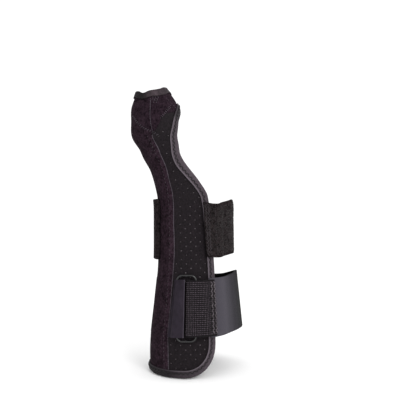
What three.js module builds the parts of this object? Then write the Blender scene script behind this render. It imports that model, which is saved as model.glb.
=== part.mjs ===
// Wrist splint with a thumb sleeve for a right hand, as worn.
// Millimetres, +Z up along the limb to the thumb tip.
// The origin is the middle of the wrist hollow. -X is the thumb side, -Y the back of the hand, +Y the palm.
import * as THREE from 'three';

// Sizes of the hollow that the limb fills.
const FOREARM_LENGTH = 145.7; // wrist to hem
const THUMB_REACH = 96.4; // wrist to thumb collar
const WRIST_WIDTH = 65.6;
const WRIST_DEPTH = 48.0;
const HEM_WIDTH = 82.6;
const HEM_DEPTH = 67.0;
const THUMB_WIDTH = 20.0;
const THUMB_DEPTH = 21.0;
const THUMB_OUT = 33.2; // thumb axis from wrist axis, towards the thumb side
const THUMB_PALMWARD = 23.2; // thumb axis from wrist axis, towards the palm
const THUMB_TURN = 35.0; // turn of the thumb's section, degrees

// The laminated wall, its bound edge and the play between pieces.
const WALL = 3.0;
const TAPE_THICKNESS = 1.0;
const TAPE_WIDTH = 6.5;
const CORNER_RADIUS = 28.0; // of the two lower corners
const GAP = 0.3;
const TAPE_PLAY = 0.6; // between a tape's flaps and the wall
const EDGE_PLAY = 1.0; // between the wall's edge and the fold of its tape
const SLEEVE_PLAY = 0.6; // between the panels and the foot of the thumb sleeve

// Straps.
const STRAP_THICKNESS = 2.0;
const UPPER_STRAP_WIDTH = 49.0;
const UPPER_STRAP_DROP = 24.3; // wrist to the middle of the strap
const LOWER_STRAP_WIDTH = 48.5;
const LOWER_STRAP_DROP = FOREARM_LENGTH * 0.6136;
const UPPER_STRAP_SLACK = 0.4; // clear of the skin where a strap bridges the open side
const LOWER_STRAP_SLACK = 2.0;

// The rectangular ring, the tab that holds it and the webbing that runs through it.
const RING_WIRE = 1.8;
const RING_WIDTH = 17.0;
const RING_LENGTH = 55.0;
const RING_CORNER = 5.0;
const RING_TURN = 47.4; // where the ring lies round the forearm, degrees
const TAB_THICKNESS = 1.2;
const TAB_LENGTH = 46.5; // along the forearm
const TAB_LOOP = 6.0; // how far the tab's fold stands past the ring's bar
const WEBBING_THICKNESS = 1.5;
const WEBBING_LENGTH = 45.5;
const WEBBING_LOOP = 7.6; // how far the webbing's fold stands past the ring's bar
const BAR_PLAY = 0.45; // round the ring's bars inside a fold

// How finely curves are cut.
const TURN_STEP = 7; // degrees round the limb
const THUMB_STEP = 9; // degrees round the thumb
const ARM_STEP = 12; // along the forearm
const HAND_STEP = 7; // above the wrist
const EDGE_STEP = 4.6; // along the bound edge

const DEGREE = Math.PI / 180;

// The hollow's sections. `at` is a share of FOREARM_LENGTH below the wrist (minus) or of
// THUMB_REACH above it. Below the wrist, width and depth are shares of the way from the
// wrist's size to the hem's. Above it, they are shares of the way to the thumb's size, and
// out, palm and turn are shares of the thumb's own offsets and turn.
const SECTIONS = [
  { at: -1.10, width: 0.92, depth: 0.98, out: -0.05, palm: -0.03, turn: 0 },
  { at: -1.00, width: 0.92, depth: 0.94, out: -0.03, palm: -0.02, turn: 0 },
  { at: -0.85, width: 0.87, depth: 0.84, out: 0, palm: 0, turn: 0 },
  { at: -0.60, width: 0.45, depth: 0.42, out: 0, palm: 0, turn: 0 },
  { at: -0.38, width: 0.10, depth: 0.05, out: 0, palm: 0, turn: 0 },
  { at: -0.15, width: 0.02, depth: -0.02, out: 0.01, palm: 0, turn: 0 },
  { at: 0.00, width: 0.00, depth: 0.00, out: 0.032, palm: 0, turn: 0 },
  { at: 0.152, width: 0.147, depth: 0.056, out: 0.16, palm: 0.11, turn: 0.23 },
  { at: 0.279, width: 0.315, depth: 0.148, out: 0.35, palm: 0.24, turn: 0.46 },
  { at: 0.392, width: 0.435, depth: 0.222, out: 0.58, palm: 0.42, turn: 0.66 },
  { at: 0.464, width: 0.483, depth: 0.296, out: 0.68, palm: 0.53, turn: 0.80 },
  { at: 0.575, width: 0.546, depth: 0.37, out: 0.88, palm: 0.73, turn: 0.94 },
  { at: 0.716, width: 0.625, depth: 0.48, out: 0.925, palm: 0.82, turn: 1 },
  { at: 0.820, width: 0.650, depth: 0.61, out: 0.927, palm: 0.85, turn: 1 },
  { at: 0.909, width: 0.80, depth: 0.83, out: 0.94, palm: 0.90, turn: 1 },
  { at: 1.000, width: 1.00, depth: 1.00, out: 0.98, palm: 1, turn: 1 },
  { at: 1.080, width: 1.03, depth: 1.03, out: 1.01, palm: 1.04, turn: 1 },
];

// Lines on the wall. `turn` is in degrees round the limb: 0 at the thumb side, 90 at the
// back, -90 at the palm.
// The bound edge on the back, from the lower corner up to the fork between thumb and hand.
const BACK_EDGE = [
  { at: -1.00, turn: 84.0 },
  { at: -0.79, turn: 84.0 },
  { at: -0.44, turn: 88.1 },
  { at: -0.36, turn: 88.2 },
  { at: -0.17, turn: 85.0 },
  { at: -0.013, turn: 81.0 },
  { at: 0.06, turn: 82.8 },
  { at: 0.20, turn: 84.0 },
  { at: 0.254, turn: 84.8 },
  { at: 0.300, turn: 86.5 },
  { at: 0.350, turn: 91.0 },
  { at: 0.423, turn: 101.5 },
  { at: 0.494, turn: 116.0 },
  { at: 0.595, turn: 141.0 },
  { at: 0.695, turn: 157.0 },
  { at: 0.760, turn: 168.0 },
  { at: 0.795, turn: 180.0 },
];
// The bound edge on the palm, likewise.
const PALM_EDGE = [
  { at: -1.00, turn: -141 },
  { at: -0.44, turn: -141 },
  { at: -0.20, turn: -139 },
  { at: 0.00, turn: -133 },
  { at: 0.15, turn: -123 },
  { at: 0.30, turn: -116 },
  { at: 0.42, turn: -117 },
  { at: 0.50, turn: -124 },
  { at: 0.60, turn: -136 },
  { at: 0.70, turn: -152 },
  { at: 0.76, turn: -165 },
  { at: 0.795, turn: -180 },
];
// The seam between the plush palm panel and the perforated back panel.
const SEAM = [
  { at: -1.00, turn: 23.8 },
  { at: -0.86, turn: 24.8 },
  { at: -0.74, turn: 23.5 },
  { at: -0.57, turn: 25.2 },
  { at: -0.41, turn: 26.4 },
  { at: -0.285, turn: 27.8 },
  { at: -0.084, turn: 26.3 },
  { at: 0.00, turn: 26.9 },
  { at: 0.083, turn: 30.6 },
  { at: 0.190, turn: 36.9 },
  { at: 0.281, turn: 45.9 },
  { at: 0.353, turn: 54.7 },
  { at: 0.408, turn: 60.4 },
  { at: 0.471, turn: 66.6 },
  { at: 0.540, turn: 74.0 },
  { at: 0.597, turn: 79.6 },
  { at: 0.684, turn: 79.4 },
  { at: 1.000, turn: 81.0 },
];
// The lower edge of the thumb sleeve, a V on the back, and the edge of its collar.
// `at` is a share of THUMB_REACH.
const SLEEVE_EDGE = [
  { turn: -180, at: 0.775 },
  { turn: -140, at: 0.770 },
  { turn: -90, at: 0.755 },
  { turn: -40, at: 0.745 },
  { turn: 0, at: 0.745 },
  { turn: 35, at: 0.727 },
  { turn: 49, at: 0.677 },
  { turn: 62, at: 0.634 },
  { turn: 79, at: 0.597 },
  { turn: 89, at: 0.607 },
  { turn: 99, at: 0.660 },
  { turn: 109, at: 0.722 },
  { turn: 120, at: 0.757 },
  { turn: 140, at: 0.773 },
  { turn: 180, at: 0.775 },
];
const COLLAR_EDGE = [
  { turn: -180, at: 1.018 },
  { turn: -150, at: 0.995 },
  { turn: -110, at: 0.978 },
  { turn: -50, at: 0.980 },
  { turn: 0, at: 0.982 },
  { turn: 32, at: 0.975 },
  { turn: 60, at: 0.948 },
  { turn: 82, at: 0.964 },
  { turn: 105, at: 0.974 },
  { turn: 125, at: 0.985 },
  { turn: 150, at: 1.008 },
  { turn: 180, at: 1.018 },
];
// Where each strap lies: bed 0 is near the skin, 1 on the wall and 2 on the tape of the wall's
// edge. Its edges, top and foot, are shares of its width from its middle, and thick is a share
// of STRAP_THICKNESS.
const UPPER_STRAP_ROUTE = [
  { turn: 72, bed: 2, top: 0.460, foot: -0.476, thick: 1 },
  { turn: 91, bed: 2, top: 0.430, foot: -0.494, thick: 1 },
  { turn: 106, bed: 0, top: 0.455, foot: -0.485, thick: 1 },
  { turn: 125, bed: 0, top: 0.485, foot: -0.468, thick: 1 },
  { turn: 145, bed: 0, top: 0.502, foot: -0.468, thick: 1 },
  { turn: 170, bed: 0, top: 0.460, foot: -0.480, thick: 1 },
  { turn: 199, bed: 0, top: 0.425, foot: -0.500, thick: 1 },
  { turn: 214, bed: 2, top: 0.420, foot: -0.510, thick: 1 },
  { turn: 245, bed: 2, top: 0.430, foot: -0.520, thick: 1 },
  { turn: 257, bed: 1, top: 0.450, foot: -0.525, thick: 1 },
  { turn: 285, bed: 1, top: 0.490, foot: -0.530, thick: 1.8 },
  { turn: 320, bed: 1, top: 0.522, foot: -0.533, thick: 1.8 },
  { turn: 356, bed: 1, top: 0.522, foot: -0.533, thick: 1.8 },
];
const LOWER_STRAP_ROUTE = [
  { turn: 76, bed: 2, top: 0.500, foot: -0.500, thick: 1 },
  { turn: 91, bed: 2, top: 0.495, foot: -0.485, thick: 1 },
  { turn: 108, bed: 0, top: 0.505, foot: -0.470, thick: 1 },
  { turn: 130, bed: 0, top: 0.538, foot: -0.460, thick: 1 },
  { turn: 150, bed: 0, top: 0.556, foot: -0.470, thick: 1 },
  { turn: 175, bed: 0, top: 0.510, foot: -0.520, thick: 1 },
  { turn: 199, bed: 0, top: 0.440, foot: -0.565, thick: 1 },
  { turn: 214, bed: 2, top: 0.410, foot: -0.590, thick: 1 },
  { turn: 242, bed: 2, top: 0.390, foot: -0.600, thick: 1 },
  { turn: 254, bed: 1, top: 0.395, foot: -0.600, thick: 1 },
  { turn: 317, bed: 1, top: 0.440, foot: -0.560, thick: 1 },
];
const UPPER_STRAP_SLANT = 5; // the sewn end leans with the back edge, degrees from its top to its foot
const TAB_START = { top: 31.0, foot: 25.0 }; // the tab's sewn end, degrees
const WEBBING_END = 82.0; // the webbing's upper layer, sewn on the lower strap
const WEBBING_RETURN = 71.0; // its lower layer

// Reads a column of a table at x, along smooth curves through its rows.
function readTable(rows, x, xName, column) {
  const last = rows.length - 1;
  const held = Math.min(Math.max(x, rows[0][xName]), rows[last][xName]);
  let i = 0;
  while (i < last - 1 && held > rows[i + 1][xName]) i += 1;
  const slopeAt = (k) => {
    const before = rows[Math.max(k - 1, 0)];
    const after = rows[Math.min(k + 1, last)];
    return (after[column] - before[column]) / (after[xName] - before[xName]);
  };
  const from = rows[i];
  const to = rows[i + 1];
  const span = to[xName] - from[xName];
  const t = (held - from[xName]) / span;
  const startWeight = 2 * t ** 3 - 3 * t ** 2 + 1;
  const endWeight = 1 - startWeight;
  const startPull = (t ** 3 - 2 * t ** 2 + t) * span * slopeAt(i);
  const endPull = (t ** 3 - t ** 2) * span * slopeAt(i + 1);
  return startWeight * from[column] + endWeight * to[column] + startPull + endPull;
}

// Reads a column at x along straight lines between rows.
function readLine(rows, x, xName, column) {
  const last = rows.length - 1;
  if (x <= rows[0][xName]) return rows[0][column];
  if (x >= rows[last][xName]) return rows[last][column];
  let i = 0;
  while (x > rows[i + 1][xName]) i += 1;
  const t = (x - rows[i][xName]) / (rows[i + 1][xName] - rows[i][xName]);
  return rows[i][column] + t * (rows[i + 1][column] - rows[i][column]);
}

const shareToHeight = (at) => at * (at < 0 ? FOREARM_LENGTH : THUMB_REACH);
const withHeights = (rows) => rows.map((row) => ({ ...row, z: shareToHeight(row.at) }));

const sectionsInMillimetres = SECTIONS.map((row) => {
  const wider = row.at < 0 ? HEM_WIDTH : THUMB_WIDTH;
  const deeper = row.at < 0 ? HEM_DEPTH : THUMB_DEPTH;
  return {
    z: shareToHeight(row.at),
    halfWidth: (WRIST_WIDTH + (wider - WRIST_WIDTH) * row.width) / 2,
    halfDepth: (WRIST_DEPTH + (deeper - WRIST_DEPTH) * row.depth) / 2,
    x: -row.out * THUMB_OUT,
    y: row.palm * THUMB_PALMWARD,
    turn: -row.turn * THUMB_TURN * DEGREE,
  };
});

// A point of the hollow's surface, at a turn round the limb and a height.
function skinPoint(turn, z) {
  const read = (column) => readTable(sectionsInMillimetres, z, 'z', column);
  const across = -read('halfWidth') * Math.cos(turn * DEGREE);
  const through = -read('halfDepth') * Math.sin(turn * DEGREE);
  const lean = read('turn');
  return new THREE.Vector3(
    read('x') + across * Math.cos(lean) - through * Math.sin(lean),
    read('y') + across * Math.sin(lean) + through * Math.cos(lean),
    z,
  );
}

// The surface's directions at a point: round the limb and up it, each per unit, and straight out.
function skinFrame(turn, z) {
  const step = 0.05;
  const round = skinPoint(turn + step, z).sub(skinPoint(turn - step, z)).divideScalar(2 * step);
  const up = skinPoint(turn, z + step).sub(skinPoint(turn, z - step)).divideScalar(2 * step);
  const out = new THREE.Vector3().crossVectors(round, up).normalize();
  return { round, up, out };
}

// A point at a height above the hollow's surface.
function place(turn, z, rise) {
  return skinPoint(turn, z).addScaledVector(skinFrame(turn, z).out, rise);
}

// A solid through closed sections with the same number of points. Each section runs along one face and back
// along the other, so an open row of sections is closed at its ends by a ladder between the two faces.
function loft(sections, isOpen = false) {
  const count = sections[0].length;
  const positions = sections.flat().flatMap((p) => [p.x, p.y, p.z]);
  const faces = [];
  const addQuad = (a, b, c, d) => faces.push([a, b, c], [a, c, d]);
  const spans = isOpen ? sections.length - 1 : sections.length;
  for (let i = 0; i < spans; i += 1) {
    const here = i * count;
    const next = ((i + 1) % sections.length) * count;
    for (let j = 0; j < count; j += 1) {
      const k = (j + 1) % count;
      addQuad(here + j, here + k, next + k, next + j);
    }
  }
  if (isOpen) {
    const end = (sections.length - 1) * count;
    for (let j = 0; j < count / 2 - 1; j += 1) {
      const across = count - 1 - j;
      addQuad(across, across - 1, j + 1, j);
      addQuad(end + j, end + j + 1, end + across - 1, end + across);
    }
  }
  const at = (k) => new THREE.Vector3().fromArray(positions, 3 * k);
  const volume = faces.reduce((sum, [a, b, c]) => sum + at(a).dot(at(b).cross(at(c))), 0);
  const outward = volume < 0 ? faces.map(([a, b, c]) => [a, c, b]) : faces;
  const geometry = new THREE.BufferGeometry();
  geometry.setAttribute('position', new THREE.Float32BufferAttribute(positions, 3));
  geometry.setIndex(outward.flat());
  geometry.computeVertexNormals();
  return geometry;
}

// Evenly spaced values from start to end, both included.
function spread(start, end, step) {
  const steps = Math.max(1, Math.round(Math.abs(end - start) / step));
  return Array.from({ length: steps + 1 }, (_, k) => start + ((end - start) * k) / steps);
}

const backEdge = withHeights(BACK_EDGE);
const palmEdge = withHeights(PALM_EDGE);
const seam = withHeights(SEAM);
const seamTurn = (z) => readTable(seam, z, 'z', 'turn');
const wrapped = (turn) => ((((turn + 180) % 360) + 360) % 360) - 180;
const sleeveEdge = (turn) => THUMB_REACH * readTable(SLEEVE_EDGE, wrapped(turn), 'turn', 'at');
const collarEdge = (turn) => THUMB_REACH * readTable(COLLAR_EDGE, wrapped(turn), 'turn', 'at');

// The finished edge: down the back, round the lower corners and the hem, and up the palm to the fork.
function edgeRoute() {
  const hem = -FOREARM_LENGTH;
  const fork = backEdge[backEdge.length - 1].z;
  const millimetresPerDegree = (turn) => skinFrame(turn, hem).round.length();
  const cornerPoints = (edge, side) => {
    const swing = CORNER_RADIUS / millimetresPerDegree(readTable(edge, hem, 'z', 'turn'));
    return spread(0, 90, 10).map((angle) => {
      const z = hem + CORNER_RADIUS * (1 - Math.sin(angle * DEGREE));
      const inward = side * swing * (1 - Math.cos(angle * DEGREE));
      return { turn: readTable(edge, z, 'z', 'turn') - inward, z };
    });
  };
  const side = (edge) => spread(fork, hem + CORNER_RADIUS, 2).map((z) => (
    { turn: readTable(edge, z, 'z', 'turn'), z }));
  const back = [...side(backEdge), ...cornerPoints(backEdge, 1).slice(1)];
  const palm = [...side(palmEdge), ...cornerPoints(palmEdge, -1).slice(1)].reverse();
  const hemLine = spread(back[back.length - 1].turn, palm[0].turn, 4).slice(1, -1)
    .map((turn) => ({ turn, z: hem }));
  return [...back, ...hemLine, ...palm.slice(0, -1)];
}

// The same route in equal steps, measured on the edge or on the tape's inner line where that is longer.
function evenRoute(route, step) {
  const points = route.map(({ turn, z }) => skinPoint(turn, z));
  const inner = insetSteps(route).map((inset) => inset(TAPE_WIDTH)).map(({ turn, z }) => skinPoint(turn, z));
  const unwound = route.map(({ turn }) => turn);
  const lengths = [0];
  for (let i = 1; i <= route.length; i += 1) {
    const [here, next] = [i - 1, i % route.length];
    const distance = Math.max(points[here].distanceTo(points[next]), inner[here].distanceTo(inner[next]));
    lengths.push(lengths[i - 1] + distance);
  }
  const count = Math.round(lengths[route.length] / step);
  const closing = { turn: unwound[0] - 360, z: route[0].z };
  const closed = [...route.map(({ z }, i) => ({ turn: unwound[i], z })), closing]
    .map((row, i) => ({ ...row, s: lengths[i] }));
  return Array.from({ length: count }, (_, k) => {
    const s = (lengths[route.length] * k) / count;
    return { turn: readLine(closed, s, 's', 'turn'), z: readLine(closed, s, 's', 'z') };
  });
}

// For each point of a closed route, a function that gives the turn and height a distance inside the edge.
function insetSteps(route) {
  return route.map(({ turn, z }, i) => {
    const before = route[(i + route.length - 1) % route.length];
    const after = route[(i + 1) % route.length];
    const { round, up, out } = skinFrame(turn, z);
    const turnChange = wrapped(after.turn - before.turn);
    const along = round.clone().multiplyScalar(turnChange).addScaledVector(up, after.z - before.z);
    const inward = new THREE.Vector3().crossVectors(along, out).normalize();
    // Solves inward = p round + q up in the surface.
    const rr = round.dot(round);
    const ru = round.dot(up);
    const uu = up.dot(up);
    const ri = round.dot(inward);
    const ui = up.dot(inward);
    const scale = rr * uu - ru * ru;
    const perTurn = (ri * uu - ui * ru) / scale;
    const perHeight = (ui * rr - ri * ru) / scale;
    return (distance) => ({ turn: turn + perTurn * distance, z: z + perHeight * distance });
  });
}

const edge = evenRoute(edgeRoute(), EDGE_STEP);
const fineEdge = evenRoute(edgeRoute(), 1.5);
const edgeInset = TAPE_THICKNESS + EDGE_PLAY;
const wallEdge = insetSteps(fineEdge).map((inset) => inset(edgeInset));
const middleTurn = (backEdge[0].turn + palmEdge[0].turn) / 2;
const upright = wallEdge.filter(({ z }) => z > CORNER_RADIUS - FOREARM_LENGTH)
  .sort((a, b) => a.z - b.z);
const wallOnBack = upright.filter(({ turn }) => turn > middleTurn);
const wallOnPalm = upright.filter(({ turn }) => turn <= middleTurn);
const wallFoot = wallEdge.filter(({ z }) => z <= CORNER_RADIUS - FOREARM_LENGTH)
  .sort((a, b) => a.turn - b.turn);

// The sleeve starts above the panels, and above the tape at the fork.
const forkEdge = wallEdge.filter(({ z }) => z > sleeveEdge(90))
  .map(({ turn, z }) => ({ turn: turn < 0 ? turn + 360 : turn, z }))
  .sort((a, b) => a.turn - b.turn);
function sleeveFoot(turn) {
  const full = turn < 0 ? turn + 360 : turn;
  const inFork = full > forkEdge[0].turn && full < forkEdge[forkEdge.length - 1].turn;
  return Math.max(sleeveEdge(turn), inFork ? readLine(forkEdge, full, 'turn', 'z') : 0);
}

// The rows of a panel as shares of its height, closer together from a little below the wrist up.
const narrowest = -UPPER_STRAP_DROP / 2;
const wallRows = [
  ...spread(-FOREARM_LENGTH, narrowest, ARM_STEP),
  ...spread(narrowest, sleeveEdge(0), HAND_STEP).slice(1),
]
  .map((z) => (z + FOREARM_LENGTH) / (sleeveEdge(0) + FOREARM_LENGTH));

// The height between two limits where a falling test first fails.
function settle(test) {
  let low = -FOREARM_LENGTH;
  let high = THUMB_REACH;
  for (let k = 0; k < 40; k += 1) {
    const middle = (low + high) / 2;
    if (test(middle)) low = middle;
    else high = middle;
  }
  return low;
}

// A sheet of wall between two edges, `left` and `right`, which give turns at a height. It runs
// from the hem and its corners up to the thumb sleeve.
function panel(left, right, columns) {
  const turnAt = (u, z) => left(z) + (right(z) - left(z)) * u;
  const sections = spread(0, 1, 1 / columns).map((u) => {
    const foot = settle((z) => z < readLine(wallFoot, turnAt(u, z), 'turn', 'z'));
    const top = settle((z) => z < sleeveFoot(turnAt(u, z)) - SLEEVE_PLAY);
    const points = wallRows.map((share) => {
      const z = foot + (top - foot) * share;
      return { turn: turnAt(u, z), z };
    });
    const outer = points.map(({ turn, z }) => place(turn, z, WALL));
    const inner = points.map(({ turn, z }) => place(turn, z, 0)).reverse();
    return [...outer, ...inner];
  });
  return loft(sections, true);
}

const seamPlay = (z) => GAP / 2 / skinFrame(seamTurn(z), z).round.length();

function palmPanel() {
  const left = (z) => readLine(wallOnPalm, z, 'z', 'turn');
  const right = (z) => seamTurn(z) - seamPlay(z);
  return panel(left, right, Math.round((SEAM[0].turn - PALM_EDGE[0].turn) / TURN_STEP));
}

function backPanel() {
  const left = (z) => seamTurn(z) + seamPlay(z);
  const right = (z) => readLine(wallOnBack, z, 'z', 'turn');
  const widest = BACK_EDGE[BACK_EDGE.length - 1].turn - SEAM[SEAM.length - 1].turn;
  return panel(left, right, Math.round(widest / TURN_STEP));
}

function thumbSleeve() {
  const rows = 6;
  const sections = spread(-180, 180 - THUMB_STEP, THUMB_STEP).map((turn) => {
    const foot = sleeveFoot(turn);
    const top = collarEdge(turn) - edgeInset;
    const heights = spread(foot, top, (top - foot) / rows);
    const outer = heights.map((z) => place(turn, z, WALL));
    const inner = heights.map((z) => place(turn, z, 0)).reverse();
    return [...outer, ...inner];
  });
  return loft(sections);
}

// The tape's section, folded over the wall's edge: distance inside the finished edge, and rise.
function tapeSection() {
  const outside = WALL + TAPE_PLAY + TAPE_THICKNESS;
  const inside = -TAPE_PLAY - TAPE_THICKNESS;
  const middle = TAPE_WIDTH / 2;
  return [
    { inset: TAPE_WIDTH, rise: outside },
    { inset: middle, rise: outside },
    { inset: 0, rise: outside },
    { inset: 0, rise: inside },
    { inset: middle, rise: inside },
    { inset: TAPE_WIDTH, rise: inside },
    { inset: TAPE_WIDTH, rise: -TAPE_PLAY },
    { inset: middle, rise: -TAPE_PLAY },
    { inset: TAPE_THICKNESS, rise: -TAPE_PLAY },
    { inset: TAPE_THICKNESS, rise: WALL + TAPE_PLAY },
    { inset: middle, rise: WALL + TAPE_PLAY },
    { inset: TAPE_WIDTH, rise: WALL + TAPE_PLAY },
  ];
}

function edgeBinding() {
  const sections = insetSteps(edge).map((inset) => tapeSection().map((point) => {
    const { turn, z } = inset(point.inset);
    return place(turn, z, point.rise);
  }));
  return loft(sections);
}

function thumbCollar() {
  const sections = spread(-180, 180 - THUMB_STEP, THUMB_STEP).map((turn) => (
    tapeSection().map((point) => place(turn, collarEdge(turn) - point.inset, point.rise))));
  return loft(sections);
}

// How high a strap's underside lies above the skin.
function bedRise(bed, slack) {
  const onWall = WALL + GAP;
  const onTape = WALL + TAPE_PLAY + TAPE_THICKNESS + GAP;
  if (bed > 1) return onWall + (bed - 1) * (onTape - onWall);
  return slack + bed * (onWall - slack);
}

// A flat strap round the limb, cut across into rows.
function strap(route, { width, drop, slack, slant }) {
  const first = route[0].turn;
  const last = route[route.length - 1].turn;
  const stations = [...new Set([...spread(first, last, TURN_STEP), ...route.map(({ turn }) => turn)])]
    .sort((a, b) => a - b)
    .filter((turn, i, all) => i === 0 || turn - all[i - 1] > 1.5);
  const across = spread(0, 1, 1 / 4);
  const sections = stations.map((turn) => {
    const share = (turn - first) / (last - first);
    const top = readTable(route, turn, 'turn', 'top');
    const foot = readTable(route, turn, 'turn', 'foot');
    const thickness = STRAP_THICKNESS * readLine(route, turn, 'turn', 'thick');
    const rise = bedRise(readLine(route, turn, 'turn', 'bed'), slack);
    const rows = across.map((v) => ({
      turn: turn + slant * (v - 0.5) * (1 - share) ** 4,
      z: width * (top + (foot - top) * v) - drop,
    }));
    const outer = rows.map((row) => place(row.turn, row.z, rise + thickness));
    const inner = rows.map((row) => place(row.turn, row.z, rise)).reverse();
    return [...outer, ...inner];
  });
  return loft(sections, true);
}

const upperStrap = () => strap(UPPER_STRAP_ROUTE, {
  width: UPPER_STRAP_WIDTH, drop: UPPER_STRAP_DROP, slack: UPPER_STRAP_SLACK, slant: UPPER_STRAP_SLANT,
});
const lowerStrap = () => strap(LOWER_STRAP_ROUTE, {
  width: LOWER_STRAP_WIDTH, drop: LOWER_STRAP_DROP, slack: LOWER_STRAP_SLACK, slant: 0,
});

// The ring lies on the lower strap's line. Its bars run up and down the forearm inside two folds.
const ringHeight = -LOWER_STRAP_DROP;
const barRise = WALL + GAP + Math.max(TAB_THICKNESS, WEBBING_THICKNESS) + BAR_PLAY + RING_WIRE / 2;
const degreesPerMillimetre = (rise) => {
  const round = skinFrame(RING_TURN, ringHeight).round.length();
  return 1 / (round + rise * DEGREE);
};
const barTurn = (RING_WIDTH - RING_WIRE) / 2 * degreesPerMillimetre(barRise);

function ring() {
  const halfLength = (RING_LENGTH - RING_WIRE) / 2;
  const halfWidth = (RING_WIDTH - RING_WIRE) / 2;
  const corner = RING_CORNER - RING_WIRE / 2;
  const left = (z) => place(RING_TURN - barTurn, z, barRise);
  const right = (z) => place(RING_TURN + barTurn, z, barRise);
  const low = ringHeight - halfLength / 2;
  const high = ringHeight + halfLength / 2;
  const centre = left(low).add(left(high)).add(right(low)).add(right(high)).divideScalar(4);
  const across = right(ringHeight).sub(left(ringHeight)).normalize();
  const out = new THREE.Vector3().crossVectors(left(high).sub(left(low)), across).normalize();
  const along = new THREE.Vector3().crossVectors(across, out).normalize();
  const corners = [[1, 1, 0], [-1, 1, 90], [-1, -1, 180], [1, -1, 270]];
  const spine = corners.flatMap(([sx, sz, start]) => spread(start, start + 90, 22.5).map((angle) => ({
    s: sx * (halfWidth - corner) + corner * Math.cos(angle * DEGREE),
    t: sz * (halfLength - corner) + corner * Math.sin(angle * DEGREE),
    angle,
  })));
  const sides = 8;
  const sections = spine.map(({ s, t, angle }) => Array.from({ length: sides }, (_, k) => {
    const round = (k / sides) * 2 * Math.PI;
    const reach = (RING_WIRE / 2) * Math.cos(round);
    return centre.clone()
      .addScaledVector(across, s + reach * Math.cos(angle * DEGREE))
      .addScaledVector(along, t + reach * Math.sin(angle * DEGREE))
      .addScaledVector(out, (RING_WIRE / 2) * Math.sin(round));
  }));
  return loft(sections);
}

// A band folded double round one bar of the ring. Its section is a hairpin of turn and rise; the fold points
// to `side` (1 to the back, -1 to the thumb side) and the open ends the other way.
function foldedBand({ side, thickness, length, loop, ends, topTurn, footTurn, endRise }) {
  const bar = RING_TURN - side * barTurn;
  const tight = degreesPerMillimetre(barRise);
  const lowRise = WALL + GAP;
  const outerRadius = barRise - lowRise;
  const innerRadius = outerRadius - thickness;
  const foldCentre = bar + side * Math.max(loop - outerRadius, 0) * tight;
  const arc = (radius) => spread(-90, 90, 30).map((angle) => ({
    turn: foldCentre + side * radius * Math.cos(angle * DEGREE) * tight,
    rise: barRise + radius * Math.sin(angle * DEGREE),
  }));
  const clear = bar - side * (RING_WIRE / 2 + 3 * BAR_PLAY) * tight;
  const landing = clear + (ends.upper - clear) * 0.45;
  const run = (from, to, startRise, finishRise) => spread(from, to, TURN_STEP).map((turn) => ({
    turn,
    rise: startRise + ((finishRise - startRise) * (turn - from)) / (to - from),
    lean: turn === ends.lower || turn === ends.upper ? 1 : 0,
  }));
  const face = (radius, lift) => [
    ...run(ends.lower, foldCentre, barRise - radius, barRise - radius).slice(0, -1),
    ...arc(radius),
    ...run(clear, landing, barRise + radius, endRise + lift),
    ...run(landing, ends.upper, endRise + lift, endRise + lift).slice(1),
  ];
  const outline = [...face(outerRadius, thickness), ...face(innerRadius, 0).reverse()];
  const heights = spread(ringHeight - length / 2, ringHeight + length / 2, ARM_STEP);
  const sections = heights.map((z) => {
    const v = (z - heights[0]) / length;
    const lean = footTurn + (topTurn - footTurn) * v;
    return outline.map((point) => place(point.turn + (point.lean ? lean : 0), z, point.rise));
  });
  return loft(sections, true);
}

function ringTab() {
  const middle = (TAB_START.top + TAB_START.foot) / 2;
  return foldedBand({
    side: 1,
    thickness: TAB_THICKNESS,
    length: TAB_LENGTH,
    loop: TAB_LOOP,
    ends: { lower: middle, upper: middle },
    topTurn: TAB_START.top - middle,
    footTurn: TAB_START.foot - middle,
    endRise: WALL + 2 * GAP + TAB_THICKNESS,
  });
}

function webbing() {
  return foldedBand({
    side: -1,
    thickness: WEBBING_THICKNESS,
    length: WEBBING_LENGTH,
    loop: WEBBING_LOOP,
    ends: { lower: WEBBING_RETURN, upper: WEBBING_END },
    topTurn: 0,
    footTurn: 0,
    endRise: bedRise(2, LOWER_STRAP_SLACK) + STRAP_THICKNESS + GAP,
  });
}

// Finishes: brushed plush, perforated foam laminate, bias tape, loop-pile strap, webbing and painted wire.
const finish = (color, roughness, metalness = 0) => (
  new THREE.MeshStandardMaterial({ color, roughness, metalness }));

const pieces = [
  ['palm_panel', palmPanel(), finish('#261e23', 0.95)],
  ['back_panel', backPanel(), finish('#252025', 0.85)],
  ['thumb_sleeve', thumbSleeve(), finish('#271e23', 0.9)],
  ['thumb_collar', thumbCollar(), finish('#4c4246', 0.7)],
  ['edge_binding', edgeBinding(), finish('#3f3c42', 0.7)],
  ['upper_strap', upperStrap(), finish('#282224', 0.95)],
  ['lower_strap', lowerStrap(), finish('#51545b', 0.8)],
  ['ring_tab', ringTab(), finish('#2f2731', 0.75)],
  ['webbing', webbing(), finish('#3a333a', 0.8)],
  ['ring', ring(), finish('#2b2a2d', 0.35, 1)],
];

const splint = new THREE.Group();
pieces.forEach(([name, geometry, material]) => {
  const mesh = new THREE.Mesh(geometry, material);
  mesh.name = name;
  splint.add(mesh);
});

export default splint;
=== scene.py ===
# Wrist splint with a thumb sleeve for a right hand, in the shape it has when worn.
# Tables and lengths are in millimetres and degrees; meshes are in metres, in the frame of the solids.
import math

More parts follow.
